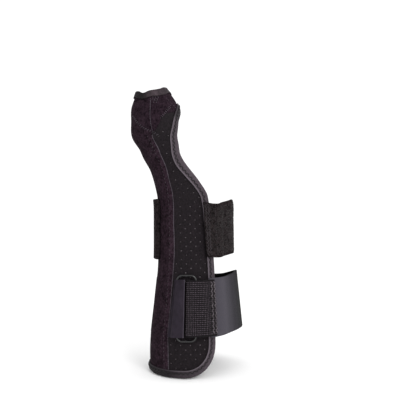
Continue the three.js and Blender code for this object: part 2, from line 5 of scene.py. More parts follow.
import bpy
import numpy as np
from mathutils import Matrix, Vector


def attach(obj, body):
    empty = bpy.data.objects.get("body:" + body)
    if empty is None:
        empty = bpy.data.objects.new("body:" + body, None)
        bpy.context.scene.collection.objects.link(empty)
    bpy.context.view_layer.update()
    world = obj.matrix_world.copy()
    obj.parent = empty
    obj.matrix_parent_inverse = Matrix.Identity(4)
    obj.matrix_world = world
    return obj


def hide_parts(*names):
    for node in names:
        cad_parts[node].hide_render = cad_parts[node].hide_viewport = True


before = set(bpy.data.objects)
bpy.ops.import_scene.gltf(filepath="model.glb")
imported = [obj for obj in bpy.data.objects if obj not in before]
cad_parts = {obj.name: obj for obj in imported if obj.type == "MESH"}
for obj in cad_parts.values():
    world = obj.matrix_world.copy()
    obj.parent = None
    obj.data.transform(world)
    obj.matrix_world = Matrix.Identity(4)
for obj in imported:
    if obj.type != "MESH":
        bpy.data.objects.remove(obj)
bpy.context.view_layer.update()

MM = 0.001

# Sizes that the pieces share with the solids.
FOREARM_LENGTH = 145.7
THUMB_REACH = 96.4
WRIST_WIDTH = 65.6
WRIST_DEPTH = 48.0
HEM_WIDTH = 82.6
HEM_DEPTH = 67.0
THUMB_WIDTH = 20.0
THUMB_DEPTH = 21.0
THUMB_OUT = 33.2
THUMB_PALMWARD = 23.2
THUMB_TURN = 35.0
WALL = 3.0
TAPE_THICKNESS = 1.0
TAPE_WIDTH = 6.5
CORNER_RADIUS = 28.0
EDGE_INSET = 2.0  # from the finished edge to the wall inside its tape
TAPE_PLAY = 0.6
STRAP_THICKNESS = 2.0
UPPER_STRAP_WIDTH = 49.0
UPPER_STRAP_DROP = 24.3
LOWER_STRAP_WIDTH = 48.5
LOWER_STRAP_DROP = 89.4
UPPER_STRAP_SLACK = 0.4
LOWER_STRAP_SLACK = 2.0
UPPER_STRAP_SLANT = 5.0
GAP = 0.3
RING_WIRE = 1.8
RING_WIDTH = 17.0
RING_LENGTH = 55.0
RING_CORNER = 5.0
RING_TURN = 47.4
TAB_THICKNESS = 1.2
TAB_LENGTH = 46.5
TAB_LOOP = 6.0
TAB_TOP_TURN = 31.0
TAB_FOOT_TURN = 25.0
WEBBING_THICKNESS = 1.5
WEBBING_LENGTH = 45.5
WEBBING_LOOP = 7.6
WEBBING_END = 82.0
WEBBING_RETURN = 71.0
BAR_PLAY = 0.45

# at, width, depth, out, palm, turn: the hollow's sections, as shares of the sizes above.
SECTIONS = np.array([
    (-1.10, 0.92, 0.98, -0.05, -0.03, 0),
    (-1.00, 0.92, 0.94, -0.03, -0.02, 0),
    (-0.85, 0.87, 0.84, 0, 0, 0),
    (-0.60, 0.45, 0.42, 0, 0, 0),
    (-0.38, 0.10, 0.05, 0, 0, 0),
    (-0.15, 0.02, -0.02, 0.01, 0, 0),
    (0.00, 0.00, 0.00, 0.032, 0, 0),
    (0.152, 0.147, 0.056, 0.16, 0.11, 0.23),
    (0.279, 0.315, 0.148, 0.35, 0.24, 0.46),
    (0.392, 0.435, 0.222, 0.58, 0.42, 0.66),
    (0.464, 0.483, 0.296, 0.68, 0.53, 0.80),
    (0.575, 0.546, 0.37, 0.88, 0.73, 0.94),
    (0.716, 0.625, 0.48, 0.925, 0.82, 1),
    (0.820, 0.650, 0.61, 0.927, 0.85, 1),
    (0.909, 0.80, 0.83, 0.94, 0.90, 1),
    (1.000, 1.00, 1.00, 0.98, 1, 1),
    (1.080, 1.03, 1.03, 1.01, 1.04, 1),
])
# at, turn: the bound edge on the back of the hand and on the palm, and the long seam.
BACK_EDGE = np.array([
    (-1.00, 84.0), (-0.79, 84.0), (-0.44, 88.1), (-0.36, 88.2), (-0.17, 85.0), (-0.013, 81.0),
    (0.06, 82.8), (0.20, 84.0), (0.254, 84.8), (0.300, 86.5), (0.350, 91.0), (0.423, 101.5),
    (0.494, 116.0), (0.595, 141.0), (0.695, 157.0), (0.760, 168.0), (0.795, 180.0),
])
PALM_EDGE = np.array([
    (-1.00, -141), (-0.44, -141), (-0.20, -139), (0.00, -133), (0.15, -123), (0.30, -116),
    (0.42, -117), (0.50, -124), (0.60, -136), (0.70, -152), (0.76, -165), (0.795, -180),
])
SEAM = np.array([
    (-1.00, 23.8), (-0.86, 24.8), (-0.74, 23.5), (-0.57, 25.2), (-0.41, 26.4), (-0.285, 27.8),
    (-0.084, 26.3), (0.00, 26.9), (0.083, 30.6), (0.190, 36.9), (0.281, 45.9), (0.353, 54.7),
    (0.408, 60.4), (0.471, 66.6), (0.540, 74.0), (0.597, 79.6), (0.684, 79.4), (1.000, 81.0),
])
# turn, at: the foot of the thumb sleeve and its upper edge.
SLEEVE_EDGE = np.array([
    (-180, 0.775), (-140, 0.770), (-90, 0.755), (-40, 0.745), (0, 0.745), (35, 0.727),
    (49, 0.677), (62, 0.634), (79, 0.597), (89, 0.607), (99, 0.660), (109, 0.722),
    (120, 0.757), (140, 0.773), (180, 0.775),
])
COLLAR_EDGE = np.array([
    (-180, 1.018), (-150, 0.995), (-110, 0.978), (-50, 0.980), (0, 0.982), (32, 0.975),
    (60, 0.948), (82, 0.964), (105, 0.974), (125, 0.985), (150, 1.008), (180, 1.018),
])
# turn, bed, top, foot, thick: where each strap lies and how wide and thick it is there.
UPPER_STRAP = np.array([
    (72, 2, 0.460, -0.476, 1), (91, 2, 0.430, -0.494, 1), (106, 0, 0.455, -0.485, 1),
    (125, 0, 0.485, -0.468, 1), (145, 0, 0.502, -0.468, 1), (170, 0, 0.460, -0.480, 1),
    (199, 0, 0.425, -0.500, 1), (214, 2, 0.420, -0.510, 1), (245, 2, 0.430, -0.520, 1),
    (257, 1, 0.450, -0.525, 1), (285, 1, 0.490, -0.530, 1.8), (320, 1, 0.522, -0.533, 1.8),
    (356, 1, 0.522, -0.533, 1.8),
])
LOWER_STRAP = np.array([
    (76, 2, 0.500, -0.500, 1), (91, 2, 0.495, -0.485, 1), (108, 0, 0.505, -0.470, 1),
    (130, 0, 0.538, -0.460, 1), (150, 0, 0.556, -0.470, 1), (175, 0, 0.510, -0.520, 1),
    (199, 0, 0.440, -0.565, 1), (214, 2, 0.410, -0.590, 1), (242, 2, 0.390, -0.600, 1),
    (254, 1, 0.395, -0.600, 1), (317, 1, 0.440, -0.560, 1),
])


# ---- the form ----

def read_smooth(rows, x, column):
    """A column of a table at x, along smooth curves through its rows."""
    xs, ys = rows[:, 0], rows[:, column]
    long_ys, long_xs = (np.pad(a, 1, mode="edge") for a in (ys, xs))
    slopes = (long_ys[2:] - long_ys[:-2]) / (long_xs[2:] - long_xs[:-2])
    held = np.clip(np.asarray(x, float), xs[0], xs[-1])
    i = np.clip(np.searchsorted(xs, held, side="right") - 1, 0, len(xs) - 2)
    span = xs[i + 1] - xs[i]
    t = (held - xs[i]) / span
    start = 2 * t ** 3 - 3 * t ** 2 + 1
    start_pull = (t ** 3 - 2 * t ** 2 + t) * span * slopes[i]
    end_pull = (t ** 3 - t ** 2) * span * slopes[i + 1]
    return start * ys[i] + (1 - start) * ys[i + 1] + start_pull + end_pull


def with_heights(rows):
    """The table with its first column, shares of the two reaches, turned into heights."""
    made = rows.astype(float).copy()
    made[:, 0] = np.where(rows[:, 0] < 0, FOREARM_LENGTH, THUMB_REACH) * rows[:, 0]
    return made


def hollow_table():
    """Heights with half width, half depth, middle and turn of the hollow's sections."""
    below = SECTIONS[:, 0] < 0
    wider = np.where(below, HEM_WIDTH, THUMB_WIDTH)
    deeper = np.where(below, HEM_DEPTH, THUMB_DEPTH)
    return np.column_stack([
        with_heights(SECTIONS)[:, 0],
        (WRIST_WIDTH + (wider - WRIST_WIDTH) * SECTIONS[:, 1]) / 2,
        (WRIST_DEPTH + (deeper - WRIST_DEPTH) * SECTIONS[:, 2]) / 2,
        -SECTIONS[:, 3] * THUMB_OUT,
        SECTIONS[:, 4] * THUMB_PALMWARD,
        -np.radians(SECTIONS[:, 5] * THUMB_TURN),
    ])


HOLLOW = hollow_table()


def skin_point(turn, z):
    """Points of the hollow's surface."""
    turn, z = np.broadcast_arrays(np.asarray(turn, float), np.asarray(z, float))
    half_width, half_depth, x, y, lean = (read_smooth(HOLLOW, z, k) for k in range(1, 6))
    across = -half_width * np.cos(np.radians(turn))
    through = -half_depth * np.sin(np.radians(turn))
    return np.stack([
        x + across * np.cos(lean) - through * np.sin(lean),
        y + across * np.sin(lean) + through * np.cos(lean),
        z,
    ], -1)


def skin_frame(turn, z):
    """The surface's directions: round the limb and up it, each per unit, and straight out."""
    step = 0.05
    around = (skin_point(turn + step, z) - skin_point(turn - step, z)) / (2 * step)
    up = (skin_point(turn, z + step) - skin_point(turn, z - step)) / (2 * step)
    out = np.cross(around, up)
    return around, up, out / np.linalg.norm(out, axis=-1, keepdims=True)


def place(turn, z, rise):
    """Points at a height above the hollow's surface."""
    turn, z, rise = np.broadcast_arrays(
        np.asarray(turn, float), np.asarray(z, float), np.asarray(rise, float))
    return skin_point(turn, z) + skin_frame(turn, z)[2] * rise[..., None]


def ripple(turn, z):
    """The slight unevenness of soft laminate round a limb."""
    a, h = np.radians(turn), np.asarray(z, float)
    return (0.22 * np.sin(3 * a + h / 17 + 0.6) * np.sin(h / 23 + 1.1)
            + 0.14 * np.sin(7 * a - h / 9 + 2.0) * np.sin(h / 13 + 0.4))


def wrapped(turn):
    return (np.asarray(turn, float) + 180) % 360 - 180


def way_along(points):
    """The way along a line of points to each of them."""
    return np.concatenate([[0], np.cumsum(np.linalg.norm(np.diff(points, axis=0), axis=1))])


def length_of(points):
    """The length of a line of points, in metres."""
    return float(way_along(points)[-1]) * MM


BACK = with_heights(BACK_EDGE)
PALM = with_heights(PALM_EDGE)
LONG_SEAM = with_heights(SEAM)


def seam_turn(z):
    return read_smooth(LONG_SEAM, z, 1)


def sleeve_edge(turn):
    return THUMB_REACH * read_smooth(SLEEVE_EDGE, wrapped(turn), 1)


def collar_edge(turn):
    return THUMB_REACH * read_smooth(COLLAR_EDGE, wrapped(turn), 1)


def edge_route():
    """The finished edge: down the back, round the lower corners and the hem, and up the palm."""
    hem, fork = -FOREARM_LENGTH, BACK[-1, 0]

    def side(edge):
        z = np.linspace(fork, hem + CORNER_RADIUS, 140)
        return np.column_stack([read_smooth(edge, z, 1), z])

    def corner(edge, sign):
        turn = read_smooth(edge, hem, 1)
        swing = CORNER_RADIUS / np.linalg.norm(skin_frame(turn, hem)[0])
        angle = np.radians(np.linspace(0, 90, 19))
        z = hem + CORNER_RADIUS * (1 - np.sin(angle))
        return np.column_stack([read_smooth(edge, z, 1) - sign * swing * (1 - np.cos(angle)), z])

    back = np.vstack([side(BACK), corner(BACK, 1)[1:]])
    palm = np.vstack([side(PALM), corner(PALM, -1)[1:]])[::-1]
    turns = np.linspace(back[-1, 0], palm[0, 0], 60)[1:-1]
    return np.vstack([back, np.column_stack([turns, np.full(len(turns), hem)]), palm[:-1]])


def even_route(route, step):
    """The same closed route in steps of one length."""
    closed = np.vstack([route, [route[0, 0] - 360, route[0, 1]]])
    way = way_along(skin_point(*closed.T))
    count = round(way[-1] / step)
    s = np.arange(count) * (way[-1] / count)
    return np.column_stack([np.interp(s, way, column) for column in closed.T])


def inset(route, distances):
    """Turns and heights at distances inside a closed route, one row for each of its points."""
    before, after = np.roll(route, 1, 0), np.roll(route, -1, 0)
    around, up, out = skin_frame(route[:, 0], route[:, 1])
    change = wrapped(after[:, 0] - before[:, 0])
    along = around * change[:, None] + up * (after[:, 1] - before[:, 1])[:, None]
    inward = np.cross(along, out)
    inward /= np.linalg.norm(inward, axis=1, keepdims=True)
    rr, ru, uu = (np.sum(a * b, 1) for a, b in ((around, around), (around, up), (up, up)))
    ri, ui = np.sum(around * inward, 1), np.sum(up * inward, 1)
    scale = rr * uu - ru * ru
    per_turn, per_height = (ri * uu - ui * ru) / scale, (ui * rr - ri * ru) / scale
    distances = np.asarray(distances, float)
    return (route[:, :1] + per_turn[:, None] * distances,
            route[:, 1:] + per_height[:, None] * distances)


EDGE_STEP = 1.6
FINISHED_EDGE = even_route(edge_route(), EDGE_STEP)
EDGE_LENGTH = length_of(skin_point(*np.vstack([FINISHED_EDGE, FINISHED_EDGE[:1]]).T))
WALL_EDGE = np.hstack(inset(FINISHED_EDGE, [EDGE_INSET]))


def wall_lines():
    """The wall's edge as lines to read: its turn on the back and the palm, and its foot."""
    corner_top = CORNER_RADIUS - FOREARM_LENGTH
    upright = WALL_EDGE[WALL_EDGE[:, 1] > corner_top]
    upright = upright[np.argsort(upright[:, 1])]
    middle = (BACK_EDGE[0, 1] + PALM_EDGE[0, 1]) / 2
    foot = WALL_EDGE[WALL_EDGE[:, 1] <= corner_top]
    foot = foot[np.argsort(foot[:, 0])]
    return upright[upright[:, 0] > middle], upright[upright[:, 0] <= middle], foot


WALL_BACK, WALL_PALM, WALL_FOOT = wall_lines()


def wall_turn(line, z):
    return np.interp(z, line[:, 1], line[:, 0])


def fork_line():
    """The part of the wall's edge above the sleeve's V, for the sleeve's foot at the fork."""
    high = WALL_EDGE[WALL_EDGE[:, 1] > sleeve_edge(90)].copy()
    high[high[:, 0] < 0, 0] += 360
    return high[np.argsort(high[:, 0])]


FORK = fork_line()


def sleeve_foot(turn):
    full = np.asarray(turn, float) % 360
    inside = (full > FORK[0, 0]) & (full < FORK[-1, 0])
    return np.maximum(sleeve_edge(turn), np.where(inside, np.interp(full, FORK[:, 0], FORK[:, 1]), 0))


def settle(test, count):
    """For each of count columns, the height where a falling test first fails."""
    low, high = np.full(count, -FOREARM_LENGTH), np.full(count, THUMB_REACH)
    for _ in range(36):  # halvings
        middle = (low + high) / 2
        holds = test(middle)
        low, high = np.where(holds, middle, low), np.where(holds, high, middle)
    return low


# ---- mesh making ----

def new_mesh(name, points, edges=(), faces=()):
    """A mesh in metres from points in millimetres."""
    mesh = bpy.data.meshes.new(name)
    mesh.from_pydata((np.asarray(points).reshape(-1, 3) * MM).tolist(), list(edges), list(faces))
    return mesh


def add_object(name, data):
    piece = bpy.data.objects.new(name, data)
    bpy.context.scene.collection.objects.link(piece)
    return piece


def make_object(name, points, faces, uv=None):
    """A smooth mesh object. uv holds each point's place on the cloth, in centimetres."""
    mesh = new_mesh(name, points, faces=faces)
    if uv is not None:
        layer = mesh.uv_layers.new(name="Cloth")
        corner_points = np.zeros(len(mesh.loops), np.int32)
        mesh.loops.foreach_get("vertex_index", corner_points)
        layer.data.foreach_set("uv", np.asarray(uv, np.float32).reshape(-1, 2)[corner_points].ravel())
    mesh.shade_smooth()
    mesh.validate()
    return add_object(name, mesh)


def outward(piece):
    """Turns a closed mesh's faces outward."""
    mesh = piece.data
    mesh.calc_loop_triangles()
    points = np.empty(len(mesh.vertices) * 3, np.float32)
    mesh.vertices.foreach_get("co", points)
    points = points.reshape(-1, 3)
    corners = np.array([t.vertices[:] for t in mesh.loop_triangles])
    a, b, c = (points[corners[:, k]] for k in range(3))
    if np.sum(a * np.cross(b, c)) < 0:
        mesh.flip_normals()
    return piece


def loft(name, outer, inner, uv, closed=False):
    """A closed solid between two faces. Their rows are its sections, and uv is each point's place on the
    cloth, in millimetres."""
    sections = np.concatenate([outer, inner[:, ::-1]], 1)
    rows, count = sections.shape[:2]
    faces = []
    for i in range(rows if closed else rows - 1):
        here, there = i * count, ((i + 1) % rows) * count
        faces += [(here + j, here + (j + 1) % count, there + (j + 1) % count, there + j)
                  for j in range(count)]
    if not closed:
        end = (rows - 1) * count
        for j in range(count // 2 - 1):
            k = count - 1 - j
            faces += [(k, k - 1, j + 1, j), (end + j, end + j + 1, end + k - 1, end + k)]
    return outward(make_object(name, sections, faces, np.concatenate([uv, uv[:, ::-1]], 1) / 10))


def finished(piece):
    """The piece with its modifiers applied, as a plain mesh."""
    graph = bpy.context.evaluated_depsgraph_get()
    mesh = bpy.data.meshes.new_from_object(piece.evaluated_get(graph))
    piece.modifiers.clear()
    piece.data = mesh
    mesh.name = piece.name
    return piece


CUT_EDGE_ANGLE = 50.0  # sharper bends than this are cut edges


def soften_edges(piece, width):
    """Rounds the cut edges of a sheet by a width in millimetres."""
    bevel = piece.modifiers.new("Soft edge", "BEVEL")
    bevel.width = width * MM
    bevel.segments = 2
    bevel.limit_method = "ANGLE"
    bevel.angle_limit = math.radians(CUT_EDGE_ANGLE)
    bevel.use_clamp_overlap = True
    finished(piece)
    piece.data.shade_smooth()
    return piece


def laid_sheet(name, turn, z, low, high, rounding, from_edge=None, closed=False):
    """A sheet between two rises, with its cut edges rounded. Its rows are stations, and from_edge is the
    station, first or last, that the place across the cloth is measured from."""
    outer, inner = place(turn, z, high), place(turn, z, low)
    middle = (outer + inner) / 2
    steps, rise = (np.linalg.norm(np.diff(middle, axis=axis), axis=2) for axis in (0, 1))
    u = np.vstack([np.zeros((1, turn.shape[1])), np.cumsum(steps, 0)])
    if from_edge is None:
        u = np.broadcast_to(np.mean(u, 1, keepdims=True), u.shape)
    else:
        u = u - u[from_edge]
    v = np.hstack([np.zeros((turn.shape[0], 1)), np.cumsum(rise, 1)])
    return soften_edges(loft(name, outer, inner, np.stack([u, v], -1), closed), rounding)


# ---- materials ----

def linear(hex_colour):
    """An sRGB hex colour as linear RGBA."""
    channels = [int(hex_colour[k:k + 2], 16) / 255 for k in (1, 3, 5)]
    return tuple(c / 12.92 if c <= 0.04045 else ((c + 0.055) / 1.055) ** 2.4 for c in channels) + (1.0,)


def add_node(tree, kind, settings=None, inputs=None):
    """One node with its settings, and its inputs set or linked. A node given as an input stands for its
    first output."""
    node = tree.nodes.new(kind)
    for key, value in (settings or {}).items():
        setattr(node, key, value)
    for key, value in (inputs or {}).items():
        if isinstance(value, bpy.types.Node):
            value = value.outputs[0]
        if isinstance(value, bpy.types.NodeSocket):
            tree.links.new(value, node.inputs[key])
        else:
            node.inputs[key].default_value = value
    return node


def start_material(name, roughness, gloss=0.1, sheen=0.0, sheen_tint="#ffffff"):
    """A material with its shader, and the tree to build on. gloss is the level of its surface reflection."""
    material = bpy.data.materials.new(name)
    material.use_nodes = True
    tree = material.node_tree
    shader = tree.nodes["Principled BSDF"]
    for label, value in (
            ("Roughness", roughness), ("Specular IOR Level", gloss), ("Sheen Weight", sheen),
            ("Sheen Roughness", 0.5), ("Sheen Tint", linear(sheen_tint))):
        shader.inputs[label].default_value = value
    return material, tree, shader


def paint(tree, shader, share, dark, light, low, high):
    """The base colour from dark to light as a share runs from low to high."""
    ramp = add_node(tree, "ShaderNodeValToRGB", inputs={"Fac": share})
    for element, position, colour in zip(ramp.color_ramp.elements, (low, high), (dark, light)):
        element.position = position
        element.color = linear(colour)
    tree.links.new(ramp.outputs["Color"], shader.inputs["Base Color"])
    return ramp.outputs["Color"]


def relief(tree, shader, height, depth, strength):
    """Bump of a depth in millimetres from a height between 0 and 1."""
    bump = add_node(tree, "ShaderNodeBump", inputs={
        "Height": height, "Distance": depth * MM, "Strength": strength})
    tree.links.new(bump.outputs["Normal"], shader.inputs["Normal"])


def mottled(tree, size, detail=3.0, roughness=0.6):
    """Uneven patches of a size in millimetres, as a share."""
    here = add_node(tree, "ShaderNodeTexCoord").outputs["Object"]
    return add_node(tree, "ShaderNodeTexNoise", inputs={
        "Vector": here, "Scale": 1000 / size, "Detail": detail, "Roughness": roughness})


def cloth_place(tree, repeat):
    """The place on the cloth, scaled from centimetres to repeats of the given millimetres."""
    uv = add_node(tree, "ShaderNodeUVMap", {"uv_map": "Cloth"}).outputs["UV"]
    return add_node(tree, "ShaderNodeMapping", inputs={
        "Vector": uv, "Scale": (10 / repeat, 10 / repeat, 1)})


def cloth_axis(tree, axis):
    """One axis of the place on the cloth, in centimetres."""
    return add_node(tree, "ShaderNodeSeparateXYZ", inputs={0: cloth_place(tree, 10)}).outputs[axis]


def tone_and_painted_shade(tree, colour, low, high, stops):
    """A colour brightened and dimmed along the cloth, for painted light and shade and for the plush's lighter
    strip
    by the seam: stops are (share of the way from low to high, brightness). Low and high are in centimetres."""
    share = add_node(tree, "ShaderNodeMapRange", inputs={
        "Value": cloth_axis(tree, "X"), "From Min": low, "From Max": high})
    ramp = add_node(tree, "ShaderNodeValToRGB", inputs={"Fac": share})
    ramp.color_ramp.interpolation = "EASE"
    elements = ramp.color_ramp.elements
    while len(elements) < len(stops):
        elements.new(0.5)
    for element, (position, level) in zip(elements, stops):
        element.position = position
        element.color = (level, level, level, 1)
    return add_node(tree, "ShaderNodeMix", {"data_type": "RGBA", "blend_type": "MULTIPLY"}, {
        0: 1.0, 6: colour, 7: ramp.outputs["Color"]}).outputs[2]


def brushed_nap(name, dark, light, nap, patch=6.0, low=0.36, high=0.66, seam_strip=None):
    """Brushed nylon: a matt dark nap, mottled where its fibres lie over. nap and patch are in millimetres.
    seam_strip is how far the topstitched strip beside the seam, pressed flat and lighter, reaches from it."""
    material, tree, shader = start_material(name, 0.95, gloss=0.03, sheen=0.03, sheen_tint="#8a7680")
    share = add_node(tree, "ShaderNodeMix", inputs={
        0: 0.38, 2: mottled(tree, nap, 4.0, 0.7), 3: mottled(tree, patch)})
    colour = paint(tree, shader, share, dark, light, low, high)
    if seam_strip:
        flat = tone_and_painted_shade(tree, colour, -2 * seam_strip / 10, 0, STRIP_TONES)
        tree.links.new(flat, shader.inputs["Base Color"])
    relief(tree, shader, share, 0.5, 0.8)
    return material


WAVE_UNIT = 0.314  # the scale at which one repeat of a wave texture is one unit long


def knit_laminate(name, dark, light):
    """Foam laminate with a fine warp-knit face: small ribs 0.9 mm apart under a slight shine."""
    material, tree, shader = start_material(name, 0.75, gloss=0.1, sheen=0.02, sheen_tint="#8b8790")
    ribs = add_node(tree, "ShaderNodeTexWave", {"bands_direction": "X"}, {
        "Vector": cloth_place(tree, 0.9), "Scale": WAVE_UNIT, "Distortion": 0.4, "Detail": 1.0})
    share = add_node(tree, "ShaderNodeMix", inputs={
        0: 0.7, 2: ribs.outputs["Fac"], 3: mottled(tree, 1.3)})
    paint(tree, shader, share, dark, light, 0.3, 0.75)
    relief(tree, shader, share, 0.25, 0.7)
    return material


def woven(name, dark, light, thread, depth=0.25, wear=3.0, wear_share=0.45, painted_highlight=None, painted_shading=None):
    """Woven polyester: over-and-under threads at a spacing in millimetres, rubbed lighter in places.
    painted_highlight is (axis, middle, half width, colour) of a painted highlight along an edge that catches
    the light, in millimetres on the cloth. painted_shading is (length in centimetres, stops) of painted light
    and shade along the cloth."""
    material, tree, shader = start_material(name, 0.75, gloss=0.12, sheen=0.02, sheen_tint="#b0a8b4")
    checks = cloth_place(tree, thread)
    over, under = (add_node(tree, "ShaderNodeTexWave", {"bands_direction": direction}, {
        "Vector": checks, "Scale": WAVE_UNIT, "Distortion": 0.2}).outputs["Fac"] for direction in "XY")
    crossed = add_node(tree, "ShaderNodeMath", {"operation": "MULTIPLY"}, {0: over, 1: under})
    share = add_node(tree, "ShaderNodeMix", inputs={
        0: wear_share, 2: crossed, 3: mottled(tree, wear, 4.0)})
    colour = paint(tree, shader, share, dark, light, 0.15, 0.85)
    # A painted highlight: a band of lighter colour along one line of the cloth, where an edge or fold catches
    # the light.
    if painted_highlight:
        axis, middle, reach, tone = painted_highlight
        away = add_node(tree, "ShaderNodeMath", {"operation": "SUBTRACT"}, {
            0: cloth_axis(tree, axis), 1: middle / 10})
        apart = add_node(tree, "ShaderNodeMath", {"operation": "ABSOLUTE"}, {0: away})
        near = add_node(tree, "ShaderNodeMapRange", {"interpolation_type": "SMOOTHSTEP"}, {
            "Value": apart, "From Min": reach / 20, "From Max": reach / 8, "To Min": 1.0, "To Max": 0.0})
        colour = add_node(tree, "ShaderNodeMix", {"data_type": "RGBA"}, {
            0: near, 6: colour, 7: linear(tone)}).outputs[2]
    # painted light and shade along the cloth's length
    if painted_shading:
        colour = tone_and_painted_shade(tree, colour, 0, *painted_shading)
    tree.links.new(colour, shader.inputs["Base Color"])
    relief(tree, shader, crossed, depth, 0.8)
    return material


def spun_thread(name, dark, light, twist=0.6):
    """Spun yarn: a soft twist that catches a little light, its tone changing over a twist's millimetres."""
    material, tree, shader = start_material(name, 0.6, gloss=0.2, sheen=0.05)
    paint(tree, shader, mottled(tree, twist), dark, light, 0.35, 0.65)
    return material


def enamelled_wire(name, dark, light):
    """Black enamelled steel wire: a smooth dark coat whose gloss draws thin light lines along it."""
    material, tree, shader = start_material(name, 0.2, gloss=0.5)
    paint(tree, shader, mottled(tree, 2.0), dark, light, 0.3, 0.7)
    return material


# Brightness along a cloth: painted light and shade, and the plush's lighter strip: (share of its length,
# brightness).
# Painted light and shade on the bias tape: lighter where it faces the lights, darker on the hem and its ends.
TAPE_PAINTED_SHADING = [
    (0.0, 0.3), (0.0135, 0.4), (0.027, 1.0), (0.1, 1.2), (0.122, 1.2), (0.142, 0.95), (0.17, 1.0),
    (0.236, 1.1), (0.38, 1.2), (0.405, 0.95), (0.426, 0.7), (0.448, 0.25), (0.507, 0.25), (0.574, 0.8),
    (0.98, 0.8), (1.0, 0.3)]
# Painted light and shade on the collar tape: a painted highlight where it faces the light, shade either side.
COLLAR_PAINTED_SHADING = [
    (0.0, 0.4), (0.5, 0.3), (0.6, 0.2), (0.64, 0.12), (0.67, 0.4), (0.71, 0.85), (0.757, 1.4),
    (0.79, 1.05), (0.842, 0.8), (0.93, 0.6)]
# Painted shade on the grey strap: darker round towards its right edge, near black on its far side in shadow.
STRAP_PAINTED_SHADING = [(0.0, 1.1), (0.1, 1.1), (0.15, 0.8), (0.2, 0.45), (0.25, 0.2), (0.28, 0.03), (1.0, 0.03)]
STRIP_TONES = [(0.0, 0.72), (0.47, 0.72), (0.53, 1.0), (1.0, 1.0)]

# Naps, twists and weaves are drawn coarser than real ones, so that they show at 0.9 mm to a pixel.
PLUSH = brushed_nap("Brushed nylon plush", "#0b0609", "#382a33", nap=1.5, seam_strip=4.5)
LAMINATE = knit_laminate("Perforated knit laminate", "#080607", "#231d21")
PALE_LINING = spun_thread("Pale knit lining", "#363034", "#5c5559", twist=9.0)
SLEEVE = brushed_nap("Brushed sleeve laminate", "#0a0509", "#30242c", nap=1.6, patch=4.0)
# The bias tape, with a painted highlight on its inner edge and painted light and shade along it.
TAPE = woven("Woven bias tape", "#322b30", "#585056", thread=0.9,
             painted_highlight=("Y", TAPE_WIDTH - 0.2, 0.7, "#5a5359"), painted_shading=(EDGE_LENGTH * 100, TAPE_PAINTED_SHADING))
# The collar tape, with painted light and shade along it.
COLLAR_TAPE = woven("Woven collar tape", "#1a1417", "#4a4045", thread=0.9, wear_share=0.75,
                    painted_shading=(9.0, COLLAR_PAINTED_SHADING))
LOOP_PILE = brushed_nap("Nylon loop pile", "#0a0808", "#2a2425", nap=1.5, patch=3.0, low=0.4, high=0.64)
PILE_LOOPS = spun_thread("Raised nylon loops", "#070506", "#2b2425", twist=2.4)
# The grey strap, with painted shade along it.
GREY_STRAP = woven("Grey knit strap", "#38363c", "#48444c", thread=0.6, depth=0.12, wear=1.6,
                   painted_shading=(15.0, STRAP_PAINTED_SHADING))
WEBBING_YARN = woven("Ribbed nylon webbing", "#0b080a", "#1b171b", thread=1.2, wear=2.0)
# The floats' yarn is painted lighter than the webbing: a painted highlight on the weave's raised yarns.
WEBBING_FLOATS = spun_thread("Nylon webbing yarn", "#2a2329", "#5c525a", twist=1.2)
# The tab cloth, with a painted highlight along its fold.
TAB_CLOTH = woven("Coated tab cloth", "#120d13", "#332c37", thread=0.5, depth=0.08, wear=7.0, wear_share=0.7,
                  painted_highlight=("X", 1.3, 0.9, "#453f48"))
WIRE = enamelled_wire("Black enamelled wire", "#09080a", "#121113")
DARK_THREAD = spun_thread("Dark sewing thread", "#090709", "#161215")
SEAM_THREAD = spun_thread("Seam thread", "#322b32", "#4a424a", twist=6.0)
GREY_THREAD = spun_thread("Grey sewing thread", "#241e22", "#3d363b", twist=5.0)
PALE_THREAD = spun_thread("Pale sewing thread", "#3b3439", "#686065", twist=4.0)


# ---- repeats by Geometry Nodes ----

SEED = 7
DISC_THICKNESS = 0.2


def start_tree(name, **kinds):
    """A node tree with one geometry in and out, a material, and a named input of each given kind."""
    tree = bpy.data.node_groups.new(name, "GeometryNodeTree")
    for label, kind in {"Geometry": "Geometry", **kinds, "Material": "Material"}.items():
        tree.interface.new_socket(label, in_out="INPUT", socket_type="NodeSocket" + kind)
    tree.interface.new_socket("Geometry", in_out="OUTPUT", socket_type="NodeSocketGeometry")
    return tree, add_node(tree, "NodeGroupInput").outputs


def end_tree(tree, geometry, material):
    """Ends a tree in real faces of one material."""
    real = add_node(tree, "GeometryNodeRealizeInstances", inputs={0: geometry})
    painted = add_node(tree, "GeometryNodeSetMaterial", inputs={"Geometry": real, "Material": material})
    add_node(tree, "NodeGroupOutput", inputs={0: painted})
    return tree


def run_tree(guide, tree, values, name):
    """The guide's mesh put through a tree, as a plain mesh of that name."""
    modifier = guide.modifiers.new("Repeat", "NODES")
    modifier.node_group = tree
    for item in tree.interface.items_tree:
        if item.item_type == "SOCKET" and item.in_out == "INPUT" and item.name in values:
            modifier[item.identifier] = values[item.name]
    guide.name = name
    piece = finished(guide)
    piece.data.materials.clear()
    piece.data.materials.append(values["Material"])
    piece.data.polygons.foreach_set("material_index", np.zeros(len(piece.data.polygons), np.int32))
    return piece


def facing(tree):
    """The direction kept at each point, and the turn that lays a shape's Z axis along it."""
    direction = add_node(tree, "GeometryNodeInputNamedAttribute", {"data_type": "FLOAT_VECTOR"}, {
        "Name": "direction"})
    turned = add_node(tree, "FunctionNodeAlignRotationToVector", {"axis": "Z"}, {"Vector": direction})
    return direction, turned


